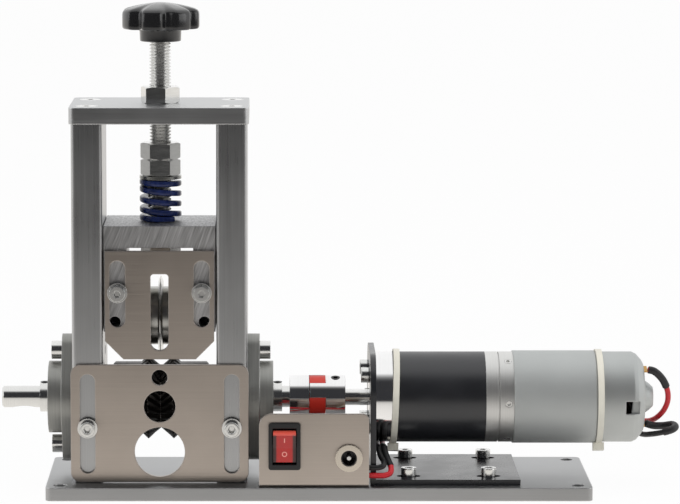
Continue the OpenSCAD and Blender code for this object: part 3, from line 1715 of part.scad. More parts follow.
base_plate();
column(-1);  // left_column
column(1);  // right_column
top_plate();
column_screws();
bearing_housing(-1);  // left_bearing_housing
bearing_housing(1);  // right_bearing_housing
bearing_races();
bearing_inner_rings();
bearing_screws();
feed_shaft();
feed_roller();
grub_screws();
coupling_hubs();
coupling_spider();
front_guide_plate();
m4_cap_screws();
guide_plate_washers();
star_knob();
pressure_screw();
screw_nuts();
lock_nut();
spring_seat();
pressure_spring();
yoke();
blade_guard();
blade_guard_screws();
blade();
blade_flanges();
blade_bearings();
blade_axle();
axle_set_screws();
motor_bracket();
gearbox_front_cover();
output_bearing();
output_shaft();
ring_gear();
planet(0, output_planet_x, output_planet_l);  // output_planet_1
planet(1, output_planet_x, output_planet_l);  // output_planet_2
planet(2, output_planet_x, output_planet_l);  // output_planet_3
first_carrier();
planet(0, input_planet_x, input_planet_l);  // input_planet_1
planet(1, input_planet_x, input_planet_l);  // input_planet_2
planet(2, input_planet_x, input_planet_l);  // input_planet_3
gearbox_rear_plate();
motor_front_plate();
ring_screws();
motor_can();
motor_magnets();
motor_end_cap();
motor_shaft();
armature();
brush_terminals();
cable_ties();
red_lead();
black_lead();
switch_plate();
switch_body();
switch_rocker();
power_jack();
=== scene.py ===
import math

import bmesh
import bpy
from mathutils import Matrix, Vector


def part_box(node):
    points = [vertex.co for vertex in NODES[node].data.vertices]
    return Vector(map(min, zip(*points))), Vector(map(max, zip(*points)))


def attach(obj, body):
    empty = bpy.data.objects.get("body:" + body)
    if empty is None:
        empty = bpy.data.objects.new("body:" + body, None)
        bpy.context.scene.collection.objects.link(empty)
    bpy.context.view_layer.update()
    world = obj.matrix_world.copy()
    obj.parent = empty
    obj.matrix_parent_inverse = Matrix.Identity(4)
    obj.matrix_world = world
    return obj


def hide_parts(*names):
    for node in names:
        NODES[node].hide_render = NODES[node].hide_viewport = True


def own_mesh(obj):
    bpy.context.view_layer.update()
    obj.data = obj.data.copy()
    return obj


bl_info = {
    "name": "Bench Wire Stripper",
    "version": (1, 0, 0),
    "blender": (4, 5, 0),
    "location": "3D View > Sidebar > Wire Stripper",
    "description": "Finishes and fine detail for a motor-driven bench wire stripper",
    "category": "Object",
}

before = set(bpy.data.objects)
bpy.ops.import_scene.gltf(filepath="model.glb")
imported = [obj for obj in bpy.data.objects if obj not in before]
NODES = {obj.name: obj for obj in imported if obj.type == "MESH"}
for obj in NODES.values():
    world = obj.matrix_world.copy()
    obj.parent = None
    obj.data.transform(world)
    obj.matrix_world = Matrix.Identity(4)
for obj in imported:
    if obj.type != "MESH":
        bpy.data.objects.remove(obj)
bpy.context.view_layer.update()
MM = 0.001
TOWER_FOOT = (-0.073, 0, 0)
BLADE_CENTRE = (-0.073, 0, 0.08)
DRIVE_CENTRE = (0, 0, 0.0418)


def tone(r, g, b):
    """Linear colour of a tone picked in 8-bit steps."""
    return tuple(c / 255 / 12.92 if c < 11 else ((c / 255 + 0.055) / 1.055) ** 2.4 for c in (r, g, b))


def scaled(rgb, share):
    return tuple(v * share for v in rgb)


def colour(name, text, rgb):
    return bpy.props.FloatVectorProperty(name=name, description=text, subtype="COLOR",
                                         min=0, max=1, default=tone(*rgb))


def length(name, text, mm, low=0.0):
    return bpy.props.FloatProperty(name=name, description=text, unit="LENGTH", min=low,
                                   precision=5, default=mm * MM)


# -------- properties

class StripperColours(bpy.types.PropertyGroup):
    aluminium: colour("Aluminium", "Columns, top plate and base", (188, 189, 190))
    casting: colour("Bearing housing", "Turned housings of the feed shaft", (166, 166, 162))
    yoke: colour("Yoke", "Sawn block over the blade", (196, 196, 197))
    plate: colour("Brushed plate", "Guide, guard and switch plates", (188, 178, 169))
    chrome: colour("Bright steel", "Screws, nuts and shafts", (228, 228, 226))
    polished: colour("Polished steel", "Coupling hubs and gearbox cover", (246, 246, 246))
    steel: colour("Plain steel", "Blade flanges, spring seat and carriers", (190, 190, 186))
    dark_steel: colour("Roller steel", "Blackened feed roller", (78, 76, 74))
    paint: colour("Black paint", "Motor bracket and gearbox sleeve", (34, 35, 39))
    knob: colour("Knob", "Moulded star knob", (32, 32, 33))
    spring: colour("Spring", "Enamel of the die spring", (17, 38, 96))
    spider: colour("Spider", "Elastic star in the coupling", (226, 56, 42))
    can: colour("Motor can", "Zinc-plated can of the motor", (196, 199, 198))
    nylon: colour("Nylon", "Cable ties", (238, 234, 220))
    red_lead: colour("Red lead", "Insulation of the red lead", (206, 34, 44))
    black_lead: colour("Black lead", "Insulation of the black lead", (26, 26, 28))
    rocker: colour("Rocker", "Red rocker of the switch", (190, 24, 20))
    brass: colour("Gear bronze", "Planet gears and terminals", (190, 150, 88))


class StripperSizes(bpy.types.PropertyGroup):
    thread_pitch: length("Thread pitch", "Rise of one turn of the pressure screw", 1.5, 0.0002)
    thread_depth: length("Thread depth", "Depth of the pressure screw's thread", 0.85)
    spring_turns: bpy.props.FloatProperty(
        name="Spring turns", description="Turns of the die spring", min=2, max=8, default=4.5)
    spring_wire_w: length("Spring wire width", "Width of the flat wire", 4.0, 0.0005)
    spring_wire_h: length("Spring wire height", "Height of the flat wire", 2.6, 0.0005)
    knob_notch: length("Knob hollows", "Depth of the hollows between the knob's lobes", 3.0)
    roller_teeth: bpy.props.IntProperty(
        name="Roller teeth", description="Slanted teeth round the V groove", min=8, max=60, default=30)
    roller_tooth: length("Roller tooth", "Depth of the slanted teeth", 0.9)
    edge: length("Edge rounding", "Radius of the bright, broken edges", 0.45)
    sleeve: length("Sleeve wall", "How far the sleeves stand over the leads", 0.45)


class StripperStudio(bpy.types.PropertyGroup):
    key: bpy.props.FloatProperty(
        name="Overhead light", description="Power of the softbox above", unit="POWER", min=0, default=6)
    side: bpy.props.FloatProperty(
        name="Side lights", description="Power of each side strip", unit="POWER", min=0, default=2)
    air: bpy.props.FloatProperty(
        name="Ambient light", description="Level of the light from all round", min=0, max=2, default=0.55)
    front: bpy.props.FloatProperty(
        name="Front reflection", description="Level of the dark room that metal shows",
        min=0, max=1, default=0.035)
    far_floor: bpy.props.FloatProperty(
        name="Far floor", description="Level of the floor far in front that metal shows",
        min=0, max=1, default=0.05)


# -------- node helpers

class Graph:
    """Adds and joins nodes of one tree."""

    def __init__(self, tree):
        self.tree = tree

    def add(self, kind, inputs=(), **settings):
        node = self.tree.nodes.new(kind)
        for name, value in settings.items():
            setattr(node, name, value)
        for name, value in dict(inputs).items():
            self.feed(node.inputs[name], value)
        return node

    def feed(self, socket, value):
        if isinstance(value, bpy.types.Node):
            value = value.outputs[0]
        if isinstance(value, bpy.types.NodeSocket):
            self.tree.links.new(value, socket)
        elif isinstance(value, (tuple, list)) and len(value) == 3 and len(socket.default_value) == 4:
            socket.default_value = (*value, 1)
        else:
            socket.default_value = value

    def math(self, operation, a, b=0.0, c=0.0, clamp=False):
        node = self.add("ShaderNodeMath", {0: a, 1: b, 2: c}, operation=operation, use_clamp=clamp)
        return node.outputs[0]

    def vector(self, operation, a, b=(0, 0, 0)):
        node = self.add("ShaderNodeVectorMath", {0: a, 1: b}, operation=operation)
        return node.outputs["Value" if operation in ("LENGTH", "DOT_PRODUCT") else "Vector"]

    def span(self, value, low, high, to_low=0.0, to_high=1.0, kind="LINEAR"):
        return self.add("ShaderNodeMapRange", {0: value, 1: low, 2: high, 3: to_low, 4: to_high},
                        interpolation_type=kind).outputs[0]

    def mix(self, factor, a, b, blend="MIX"):
        node = self.add("ShaderNodeMix", data_type="RGBA", blend_type=blend)
        for index, value in ((0, factor), (6, a), (7, b)):
            self.feed(node.inputs[index], value)
        return node.outputs[2]

    def place(self, kind="Object"):
        """Texture coordinates of the shaded point."""
        return self.add("ShaderNodeTexCoord").outputs[kind]

    def parts(self, vector):
        """Sockets with X, Y and Z of a vector."""
        return self.add("ShaderNodeSeparateXYZ", {0: vector}).outputs

    def joined(self, x, y, z):
        return self.add("ShaderNodeCombineXYZ", {0: x, 1: y, 2: z})


def shader_group(name, inputs, outputs):
    """Starts a shader node group with named sockets."""
    tree = bpy.data.node_groups.new(name, "ShaderNodeTree")
    for label, kind, value in inputs:
        socket = tree.interface.new_socket(label, in_out="INPUT", socket_type="NodeSocket" + kind)
        socket.default_value = value
    for label, kind in outputs:
        tree.interface.new_socket(label, in_out="OUTPUT", socket_type="NodeSocket" + kind)
    graph = Graph(tree)
    return graph, graph.add("NodeGroupInput").outputs, graph.add("NodeGroupOutput").inputs


def group_lines():
    """Fine straight lines, as a brush, a saw or a lathe leaves them."""
    g, given, out = shader_group(
        "Tool lines", [("Turn", "Vector", (0, 0, 0)), ("Lines", "Vector", (40, 1500, 1500))],
        [("Tone", "Float")])
    turned = g.add("ShaderNodeMapping", {"Vector": g.place(), "Rotation": given["Turn"]})
    place = g.vector("MULTIPLY", turned, given["Lines"])
    fine = g.add("ShaderNodeTexNoise", {"Vector": place, "Scale": 1, "Detail": 2, "Roughness": 0.6})
    g.feed(out["Tone"], g.span(fine.outputs["Fac"], 0.3, 0.7))
    return g.tree


def group_rings():
    """Fine rings round an axis, as turning leaves them on a face."""
    g, given, out = shader_group(
        "Turned rings",
        [("Centre", "Vector", (0, 0, 0)), ("Across", "Vector", (0, 1, 1)), ("Rings", "Float", 1500)],
        [("Tone", "Float")])
    from_centre = g.vector("SUBTRACT", g.place(), given["Centre"])
    from_axis = g.vector("LENGTH", g.vector("MULTIPLY", from_centre, given["Across"]))
    fine = g.add("ShaderNodeTexNoise", {"W": g.math("MULTIPLY", from_axis, given["Rings"]),
                                        "Scale": 1, "Detail": 1}, noise_dimensions="1D")
    g.feed(out["Tone"], g.span(fine.outputs["Fac"], 0.3, 0.7))
    return g.tree


def group_clouds():
    """Soft uneven patches and a fine grain."""
    g, given, out = shader_group(
        "Clouds and grain", [("Clouds", "Float", 30), ("Grain", "Float", 2500)],
        [("Clouds", "Float"), ("Grain", "Float")])
    place = g.place()
    wide = g.add("ShaderNodeTexNoise", {"Vector": place, "Scale": given["Clouds"], "Detail": 3})
    fine = g.add("ShaderNodeTexNoise", {"Vector": place, "Scale": given["Grain"], "Detail": 1})
    g.feed(out["Clouds"], g.span(wide.outputs["Fac"], 0.35, 0.65))
    g.feed(out["Grain"], g.span(fine.outputs["Fac"], 0.3, 0.7))
    return g.tree


def group_edges():
    """Rounded edges: a softened normal and a mask where it leaves the flat."""
    g, given, out = shader_group(
        "Broken edges", [("Radius", "Float", 0.0005)], [("Normal", "Vector"), ("Edge", "Float")])
    soft = g.add("ShaderNodeBevel", {"Radius": given["Radius"]}, samples=6)
    flat = g.add("ShaderNodeNewGeometry").outputs["Normal"]
    g.feed(out["Normal"], soft)
    g.feed(out["Edge"], g.span(g.vector("DOT_PRODUCT", soft.outputs[0], flat), 0.995, 0.8))
    return g.tree


GROUP_MAKERS = {"lines": group_lines, "rings": group_rings, "clouds": group_clouds, "edges": group_edges}
GROUPS = {}


def group(name):
    """The shared node group of that name, built at its first use."""
    if name not in GROUPS:
        GROUPS[name] = GROUP_MAKERS[name]()
    return GROUPS[name]


def lines(x, y, z, turn=(0, 0, 0)):
    """Pattern of tool lines: how many noise cells there are per metre each way."""
    return "lines", {"Lines": (x, y, z), "Turn": turn}


def rings(centre, count, across=(0, 1, 1)):
    """Pattern of turned rings round a centre, in the plane that across marks."""
    return "rings", {"Centre": centre, "Rings": count, "Across": across}


class Finish:
    """One material: a Principled surface, its tone and its shared groups."""

    def __init__(self, name, base, rough, metallic=0.0, **sockets):
        self.material = bpy.data.materials.new(name)
        self.material.use_nodes = True
        self.graph = Graph(self.material.node_tree)
        self.surface = self.material.node_tree.nodes["Principled BSDF"]
        self.base, self.rough = tuple(base)[:3], rough
        self.normal = None
        self.surface.inputs["Metallic"].default_value = metallic
        for label, value in sockets.items():
            self.surface.inputs[label.replace("_", " ")].default_value = value

    def use(self, name, inputs=()):
        """Adds one of the shared groups."""
        node = self.graph.tree.nodes.new("ShaderNodeGroup")
        node.node_tree = group(name)
        for label, value in dict(inputs).items():
            self.graph.feed(node.inputs[label], value)
        return node

    def shade(self, factor, amount):
        """Darkens the base where factor is 0 and lightens it where it is 1."""
        g = self.graph
        if isinstance(self.base, tuple):
            light = tuple(min(1, v) for v in scaled(self.base, 1 + amount))
            self.base = g.mix(factor, scaled(self.base, 1 - amount), light)
        else:
            level = g.span(factor, 0, 1, 1 - amount, 1 + amount)
            grey = g.add("ShaderNodeCombineColor", {0: level, 1: level, 2: level})
            self.base = g.mix(1.0, self.base, grey, blend="MULTIPLY")

    def over(self, factor, paint):
        self.base = self.graph.mix(factor, self.base, paint)

    def bump(self, height, strength, distance=0.0001):
        node = self.graph.add("ShaderNodeBump",
                              {"Strength": strength, "Distance": distance, "Height": height})
        if self.normal is not None:
            self.graph.feed(node.inputs["Normal"], self.normal)
        self.normal = node.outputs[0]

    def done(self):
        self.graph.feed(self.surface.inputs["Base Color"], self.base)
        self.graph.feed(self.surface.inputs["Roughness"], self.rough)
        if self.normal is not None:
            self.graph.feed(self.surface.inputs["Normal"], self.normal)
        return self.material


# tone of the painted highlight along rounded metal edges
EDGE_HIGHLIGHT_TONE = (0.9, 0.9, 0.9)
LEAST_ROUGH = 0.02


def worked_metal(name, base, rough, pattern, mark=0.08, relief=0.15, spread=0.08, clouds=0.05,
                 edge=None, bright=0.5, **sockets):
    """Metal with tool marks, uneven patches and a painted highlight along its rounded edges."""
    finish = Finish(name, base, rough, **{"metallic": 1.0, **sockets})
    g = finish.graph
    if edge:
        edges = finish.use("edges", {"Radius": edge})
        finish.normal = edges.outputs["Normal"]
    marks = finish.use(*pattern).outputs["Tone"]
    patches = finish.use("clouds").outputs["Clouds"]
    finish.shade(marks, mark)
    finish.shade(patches, clouds)
    # painted highlight: a pale tone over the base colour along the rounded edges, as strong as bright says
    if edge and bright:
        finish.over(g.math("MULTIPLY", edges.outputs["Edge"], bright), EDGE_HIGHLIGHT_TONE)
    # marks and patches add 0 to 1.5 times the spread, so half of that comes off first
    worn = g.math("ADD", g.math("MULTIPLY", marks, spread), g.math("MULTIPLY", patches, spread / 2))
    finish.rough = g.math("ADD", worn, max(LEAST_ROUGH, rough - 0.75 * spread))
    if relief:
        finish.bump(marks, relief)
    return finish.done()


def moulded(name, base, rough, relief=0.05, clouds=0.06, edge=None, **sockets):
    """Plastic, rubber or paint with a faint skin."""
    finish = Finish(name, base, rough, **sockets)
    g = finish.graph
    if edge:
        finish.normal = finish.use("edges", {"Radius": edge}).outputs["Normal"]
    skin = finish.use("clouds", {"Clouds": 60, "Grain": 4000})
    finish.shade(skin.outputs["Clouds"], clouds)
    uneven = 0.08
    finish.rough = g.math("ADD", g.math("MULTIPLY", skin.outputs["Clouds"], uneven),
                          max(LEAST_ROUGH, rough - uneven / 2))
    if relief:
        finish.bump(skin.outputs["Grain"], relief, 0.00005)
    return finish.done()


def dress(material, *names):
    """Gives CAD nodes their finish."""
    for name in names:
        mesh = NODES[name].data
        mesh.materials.clear()
        mesh.materials.append(material)


# -------- mesh helpers

def new_object(name, mesh, material, body, *nodes, slot, smooth=40):
    """Links a finished mesh, lets it ride on its body and stand for its CAD nodes."""
    piece = bpy.data.objects.new(name, mesh)
    bpy.context.scene.collection.objects.link(piece)
    if material is not None:
        mesh.materials.clear()
        mesh.materials.append(material)
    mesh.shade_smooth()
    mesh.set_sharp_from_angle(angle=math.radians(smooth))
    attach(piece, body)
    if nodes:
        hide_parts(*nodes)
    return piece


def skin(sections, name, closed=False):
    """Mesh through sections of equally many points, with its two ends closed unless it runs round."""
    sides, count = len(sections[0]), len(sections)
    faces = []
    for i in range(count if closed else count - 1):
        row, after = i * sides, (i + 1) % count * sides
        for k in range(sides):
            turn = (k + 1) % sides
            faces.append((row + k, row + turn, after + turn, after + k))
    if not closed:
        faces.append(tuple(range(sides - 1, -1, -1)))
        faces.append(tuple(range((count - 1) * sides, count * sides)))
    mesh = bpy.data.meshes.new(name)
    mesh.from_pydata([point for section in sections for point in section], [], faces)
    tidy(mesh)
    return mesh


def tidy(mesh):
    """Merges doubles and turns every face outwards."""
    work = bmesh.new()
    work.from_mesh(mesh)
    bmesh.ops.remove_doubles(work, verts=work.verts, dist=1e-6)
    bmesh.ops.recalc_face_normals(work, faces=work.faces)
    work.to_mesh(mesh)
    work.free()
    mesh.update()


PATH_STEPS = 6


def smooth_path(points, steps=PATH_STEPS):
    """Catmull-Rom line through points given in mm."""
    p = [Vector(x) * MM for x in points]
    line = []
    for i in range(len(p) - 1):
        a, b, c, d = p[max(i - 1, 0)], p[i], p[i + 1], p[min(i + 2, len(p) - 1)]
        for k in range(steps):
            t = k / steps
            line.append(0.5 * (2 * b + (c - a) * t + (2 * a - 5 * b + 4 * c - d) * t * t
                               + (3 * b - a - 3 * c + d) * t ** 3))
    return line + [p[-1]]


# share of the radius and of the lip's depth, from the end's flat to the full tube
LIP = ((0.55, 0.0), (0.85, 0.3), (1.0, 1.0))


def tube(line, radius, name, sides=16, rounded=0.0):
    """Round tube along a line; rounded turns its two ends into soft lips."""
    sections = []
    side = None
    last = len(line) - 1
    for i, point in enumerate(line):
        way = (line[min(i + 1, last)] - line[max(i - 1, 0)]).normalized()
        if side is None:
            side = way.orthogonal().normalized()
        side = (side - way * side.dot(way)).normalized()
        up = way.cross(side)
        circle = [side * math.cos(2 * math.pi * k / sides) + up * math.sin(2 * math.pi * k / sides)
                  for k in range(sides)]
        if rounded and i in (0, last):
            inward = 1 if i == 0 else -1
            for share, back in LIP[::inward]:
                shift = way * rounded * back * inward
                sections.append([point + shift + v * radius * share for v in circle])
        else:
            sections.append([point + v * radius for v in circle])
    return skin(sections, name)


def geometry_tree(name, inputs):
    """Starts a geometry node tree with named inputs."""
    tree = bpy.data.node_groups.new(name, "GeometryNodeTree")
    tree.interface.new_socket("Geometry", in_out="OUTPUT", socket_type="NodeSocketGeometry")
    for label, kind, value in inputs:
        socket = tree.interface.new_socket(label, in_out="INPUT", socket_type="NodeSocket" + kind)
        if value is not None:
            socket.default_value = value
    graph = Graph(tree)
    given, out = graph.add("NodeGroupInput").outputs, graph.add("NodeGroupOutput").inputs

    def close(geometry):
        real = graph.add("GeometryNodeRealizeInstances", {0: geometry})
        final = graph.add("GeometryNodeSetMaterial", {0: real, "Material": given["Material"]})
        graph.feed(out[0], final)
        return tree
    return graph, given, close


def grown(name, tree, values, place):
    """Plain mesh that a geometry node tree makes with these values, moved to its place."""
    host = bpy.data.objects.new(name, bpy.data.meshes.new(name))
    bpy.context.scene.collection.objects.link(host)
    modifier = host.modifiers.new(name, "NODES")
    modifier.node_group = tree
    for item in tree.interface.items_tree:
        if item.in_out == "INPUT" and item.name in values:
            modifier[item.identifier] = values[item.name]
    bpy.context.view_layer.update()
    graph = bpy.context.evaluated_depsgraph_get()
    mesh = bpy.data.meshes.new_from_object(host.evaluated_get(graph))
    host.modifiers.clear()
    bpy.data.objects.remove(host)
    mesh.transform(place)
    mesh.name = name
    tidy(mesh)
    return mesh


def on_foot(low, high):
    """Move of a piece that stands at the origin to the foot of a node's box."""
    return Matrix.Translation(((low.x + high.x) / 2, (low.y + high.y) / 2, low.z))


def thread_tree():
    """Threaded rod that stands on z = 0: a sheet rolled up, its radius following the helix."""
    g, given, close = geometry_tree("Threaded rod", [
        ("Radius", "Float", 0.005), ("Depth", "Float", 0.0008), ("Pitch", "Float", 0.0015),
        ("Length", "Float", 0.1), ("Rows", "Int", 400), ("Sides", "Int", 33), ("Material", "Material", None)])
    sheet = g.add("GeometryNodeMeshGrid", {
        "Size X": 1, "Size Y": 1, "Vertices X": given["Rows"], "Vertices Y": given["Sides"]})
    x, y, _ = g.parts(g.add("GeometryNodeInputPosition"))
    share = g.math("ADD", x, 0.5)
    turn = g.math("ADD", y, 0.5)
    height = g.math("MULTIPLY", share, given["Length"])
    phase = g.math("SUBTRACT", g.math("DIVIDE", height, given["Pitch"]), turn)
    crest = g.math("MULTIPLY", g.math("PINGPONG", phase, 0.5), 2.0)
    flat = g.span(crest, 0.14, 0.86, 0, 1, "SMOOTHSTEP")
    end = g.math("MINIMUM", height, g.math("SUBTRACT", given["Length"], height))
    chamfer = g.span(end, 0, 0.0012, 1, 0)
    depth = g.math("MAXIMUM", g.math("SUBTRACT", 1.0, flat), chamfer)
    cut = g.math("MULTIPLY", depth, given["Depth"])
    closed = g.math("GREATER_THAN", end, 1e-7)
    radius = g.math("MULTIPLY", g.math("SUBTRACT", given["Radius"], cut), closed)
    angle = g.math("MULTIPLY", turn, 2 * math.pi)
    rolled = g.joined(g.math("MULTIPLY", radius, g.math("COSINE", angle)),
                      g.math("MULTIPLY", radius, g.math("SINE", angle)), height)
    moved = g.add("GeometryNodeSetPosition", {"Geometry": sheet, "Position": rolled})
    return close(g.add("GeometryNodeMergeByDistance", {"Geometry": moved, "Distance": 1e-6}))


def spring_tree():
    """Die spring of flat wire with closed, ground ends, standing on z = 0."""
    g, given, close = geometry_tree("Die spring", [
        ("Turns", "Float", 5), ("Radius", "Float", 0.0077), ("Height", "Float", 0.0198),
        ("Wire Width", "Float", 0.004), ("Wire Height", "Float", 0.0023), ("End Turns", "Float", 0.62),
        ("End Rise", "Float", 0.0009), ("Material", "Material", None)])
    coil = g.add("GeometryNodeCurveSpiral", {
        "Resolution": 40, "Rotations": given["Turns"], "Start Radius": given["Radius"],
        "End Radius": given["Radius"], "Height": 0.02})
    share = g.add("GeometryNodeSplineParameter").outputs["Factor"]
    end = g.math("DIVIDE", given["End Turns"], given["Turns"])
    rest = g.math("SUBTRACT", 1.0, end)
    middle = g.math("SUBTRACT", g.math("SUBTRACT", given["Height"], given["Wire Height"]),
                    g.math("MULTIPLY", given["End Rise"], 2.0))
    low = g.span(share, 0, end, 0, given["End Rise"])
    high = g.span(share, rest, 1, 0, given["End Rise"])
    free = g.span(share, end, rest, 0, middle)
    half_wire = g.math("MULTIPLY", given["Wire Height"], 0.5)
    z = g.math("ADD", g.math("ADD", low, high), g.math("ADD", free, half_wire))
    x, y, _ = g.parts(g.add("GeometryNodeInputPosition"))
    raised = g.add("GeometryNodeSetPosition", {"Geometry": coil, "Position": g.joined(x, y, z)})
    upright = g.add("GeometryNodeSetCurveNormal", {"Curve": raised}, mode="Z_UP")
    section = g.add("GeometryNodeCurvePrimitiveQuadrilateral", {
        "Width": given["Wire Width"], "Height": given["Wire Height"]})
    soft = g.add("GeometryNodeFilletCurve", {"Curve": section, "Radius": 0.0007, "Count": 4}, mode="POLY")
    return close(g.add("GeometryNodeCurveToMesh", {
        "Curve": upright, "Profile Curve": soft, "Fill Caps": True}))


# -------- pieces

class StripperStep:
    """An operator's run: make() gets the chosen colours and sizes."""

    def execute(self, context):
        self.make(context.scene.stripper_colours, context.scene.stripper_sizes)
        return {"FINISHED"}


class STRIPPER_OT_frame(StripperStep, bpy.types.Operator):
    """Base, columns and top plate"""
    bl_idname = "stripper.frame"
    bl_label = "Base and Tower"

    def make(self, c, s):
        column = worked_metal("Column aluminium", c.aluminium, 0.31, lines(1400, 1400, 12),
                              mark=0.05, relief=0.1, edge=s.edge * 2.2, bright=0.7)
        # one aluminium: the top plate's copy is painted 12 % lighter as painted light, the base's 16 % darker
        # as painted shade
        plate = worked_metal("Plate aluminium", scaled(c.aluminium, 1.12), 0.36, lines(14, 1400, 1400),
                             mark=0.05, relief=0.1, edge=s.edge * 1.6, bright=0.6)
        base = worked_metal("Base aluminium", scaled(c.aluminium, 0.84), 0.4, lines(14, 1400, 1400),
                            mark=0.05, relief=0.1, edge=s.edge * 1.6, bright=0.6)
        dress(column, "left_column", "right_column")
        dress(plate, "top_plate")
        dress(base, "base_plate")


class STRIPPER_OT_fasteners(StripperStep, bpy.types.Operator):
    """Cap screws, countersunk screws, set screws, nuts and washers"""
    bl_idname = "stripper.fasteners"
    bl_label = "Screws and Nuts"

    def make(self, c, s):
        chrome = worked_metal("Bright screw steel", c.chrome, 0.16, lines(900, 900, 900),
                              mark=0.04, relief=0.0, spread=0.05, edge=s.edge * 0.7, bright=0.3)
        nut = worked_metal("Bright nut steel", c.chrome, 0.14, lines(200, 200, 1200),
                           mark=0.05, relief=0.03, spread=0.06, edge=s.edge * 0.8, bright=0.35)
        domed = worked_metal("Domed screw steel", c.chrome, 0.16, lines(900, 900, 900),
                             mark=0.04, relief=0.0, spread=0.05, edge=s.edge * 2.6, bright=0.0)
        black = moulded("Blackened screws", tone(24, 24, 25), 0.35, edge=s.edge * 0.5)
        washer = worked_metal("Washer steel", c.steel, 0.22, rings(TOWER_FOOT, 1500, across=(1, 1, 0)),
                              mark=0.05, relief=0.05, edge=s.edge * 0.5)
        dress(chrome, "column_screws", "bearing_screws", "blade_guard_screws", "ring_screws",
              "guide_plate_washers")
        dress(domed, "m4_cap_screws")
        dress(nut, "screw_nuts", "lock_nut")
        dress(black, "grub_screws", "axle_set_screws")
        dress(washer, "spring_seat")


class STRIPPER_OT_bearings(StripperStep, bpy.types.Operator):
    """Bearing housings, races and inner rings of the feed shaft"""
    bl_idname = "stripper.bearings"
    bl_label = "Bearings"

    def make(self, c, s):
        housing = worked_metal("Housing metal", c.casting, 0.44, lines(1500, 30, 30), mark=0.09,
                               clouds=0.09, edge=s.edge * 1.2, bright=0.4, metallic=0.75)
        ring = worked_metal("Ground ring steel", c.chrome, 0.2, lines(1800, 0, 0),
                            mark=0.05, relief=0.04, edge=s.edge * 0.6)
        dress(housing, "left_bearing_housing", "right_bearing_housing")
        dress(ring, "bearing_races", "bearing_inner_rings", "output_bearing", "blade_bearings")


class STRIPPER_OT_feed(StripperStep, bpy.types.Operator):
    """Feed shaft, toothed roller and jaw coupling"""
    bl_idname = "stripper.feed"
    bl_label = "Feed Shaft and Roller"

    def make(self, c, s):
        shaft = worked_metal("Ground shaft steel", c.chrome, 0.17, lines(2200, 0, 0),
                             mark=0.05, relief=0.03, spread=0.05, edge=s.edge)
        hub = worked_metal("Polished hub metal", c.polished, 0.09, lines(2600, 0, 0),
                           mark=0.03, relief=0.015, spread=0.03, edge=s.edge * 0.7, bright=0.2)
        spider = moulded("Elastic spider", c.spider, 0.42, edge=s.edge)
        roller = worked_metal("Blackened roller steel", c.dark_steel, 0.34, lines(1500, 60, 60),
                              mark=0.12, relief=0.1, edge=s.edge * 0.8, bright=0.25)
        dress(shaft, "feed_shaft", "output_shaft")
        dress(hub, "coupling_hubs")
        dress(spider, "coupling_spider")
        low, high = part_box("feed_roller")
        middle, reach = (low + high) / 2, (high.x - low.x) / 2
        rim = (high.z - low.z) / 2
        # half profile, from end to end: bore, hub, toothed rims beside a V groove
        bore, hub_r, groove = 5.2 * MM, rim - 3 * MM, rim - 5.1 * MM
        half, foot, lip, chamfer = 5.8 * MM, 3.3 * MM, 0.3 * MM, 1 * MM
        toothed, slant, slope = half + 0.31 * MM, 4.2 * MM, 2.6
        outline = [(-reach, bore), (-reach, hub_r - chamfer), (-reach + chamfer, hub_r)]
        outline += [(-half - foot, hub_r), (-half - lip, rim)]
        outline += [(-half + 2 * half * k / 20, groove + (rim - groove) * abs(1 - k / 10)) for k in range(21)]
        outline += [(half + lip, rim), (half + foot, hub_r), (reach - chamfer, hub_r),
                    (reach, hub_r - chamfer), (reach, bore)]
        steps = s.roller_teeth * 8
        sections = []
        for x, r in outline:
            section = []
            for k in range(steps):
                angle = 2 * math.pi * k / steps
                cut = 0.0
                if abs(x) <= toothed:
                    wave = (s.roller_teeth * k / steps + abs(x) / slant) % 1
                    cut = s.roller_tooth * min(1, slope * min(wave, 1 - wave))
                section.append((middle.x + x, middle.y + (r - cut) * math.cos(angle),
                                middle.z + (r - cut) * math.sin(angle)))
            sections.append(section)
        mesh = skin(sections, "roller", closed=True)
        new_object("toothed_roller", mesh, roller, "feed", "feed_roller", slot="dark_steel", smooth=30)


class STRIPPER_OT_plates(StripperStep, bpy.types.Operator):
    """Brushed guide plate, blade guard and switch plate"""
    bl_idname = "stripper.plates"
    bl_label = "Brushed Plates"

    def make(self, c, s):
        brushed = worked_metal("Brushed stainless plate", c.plate, 0.36, lines(16, 1800, 1800), mark=0.035,
                               relief=0.08, clouds=0.06, edge=s.edge * 1.1, bright=0.45, Anisotropic=0.7)
        dress(brushed, "front_guide_plate", "blade_guard", "switch_plate")


class STRIPPER_OT_yoke(StripperStep, bpy.types.Operator):
    """Sawn yoke"""
    bl_idname = "stripper.yoke"
    bl_label = "Yoke"

    def make(self, c, s):
        sawn = worked_metal("Sawn aluminium", c.yoke, 0.52, lines(1100, 200, 60, turn=(0, -0.36, 0)),
                            mark=0.3, relief=0.3, spread=0.12, clouds=0.08, edge=s.edge * 1.2, bright=0.4)
        dress(sawn, "yoke")


class STRIPPER_OT_blade(StripperStep, bpy.types.Operator):
    """Round blade with its flanges and axle"""
    bl_idname = "stripper.blade"
    bl_label = "Blade"

    def make(self, c, s):
        blade = worked_metal("Ground blade steel", c.chrome, 0.2, rings(BLADE_CENTRE, 2200),
                             mark=0.06, relief=0.06, edge=s.edge * 0.4)
        turned = worked_metal("Turned flange steel", c.steel, 0.28, rings(BLADE_CENTRE, 1600),
                              mark=0.08, relief=0.08, edge=s.edge * 0.8)
        dress(blade, "blade")
        dress(turned, "blade_flanges", "blade_axle")


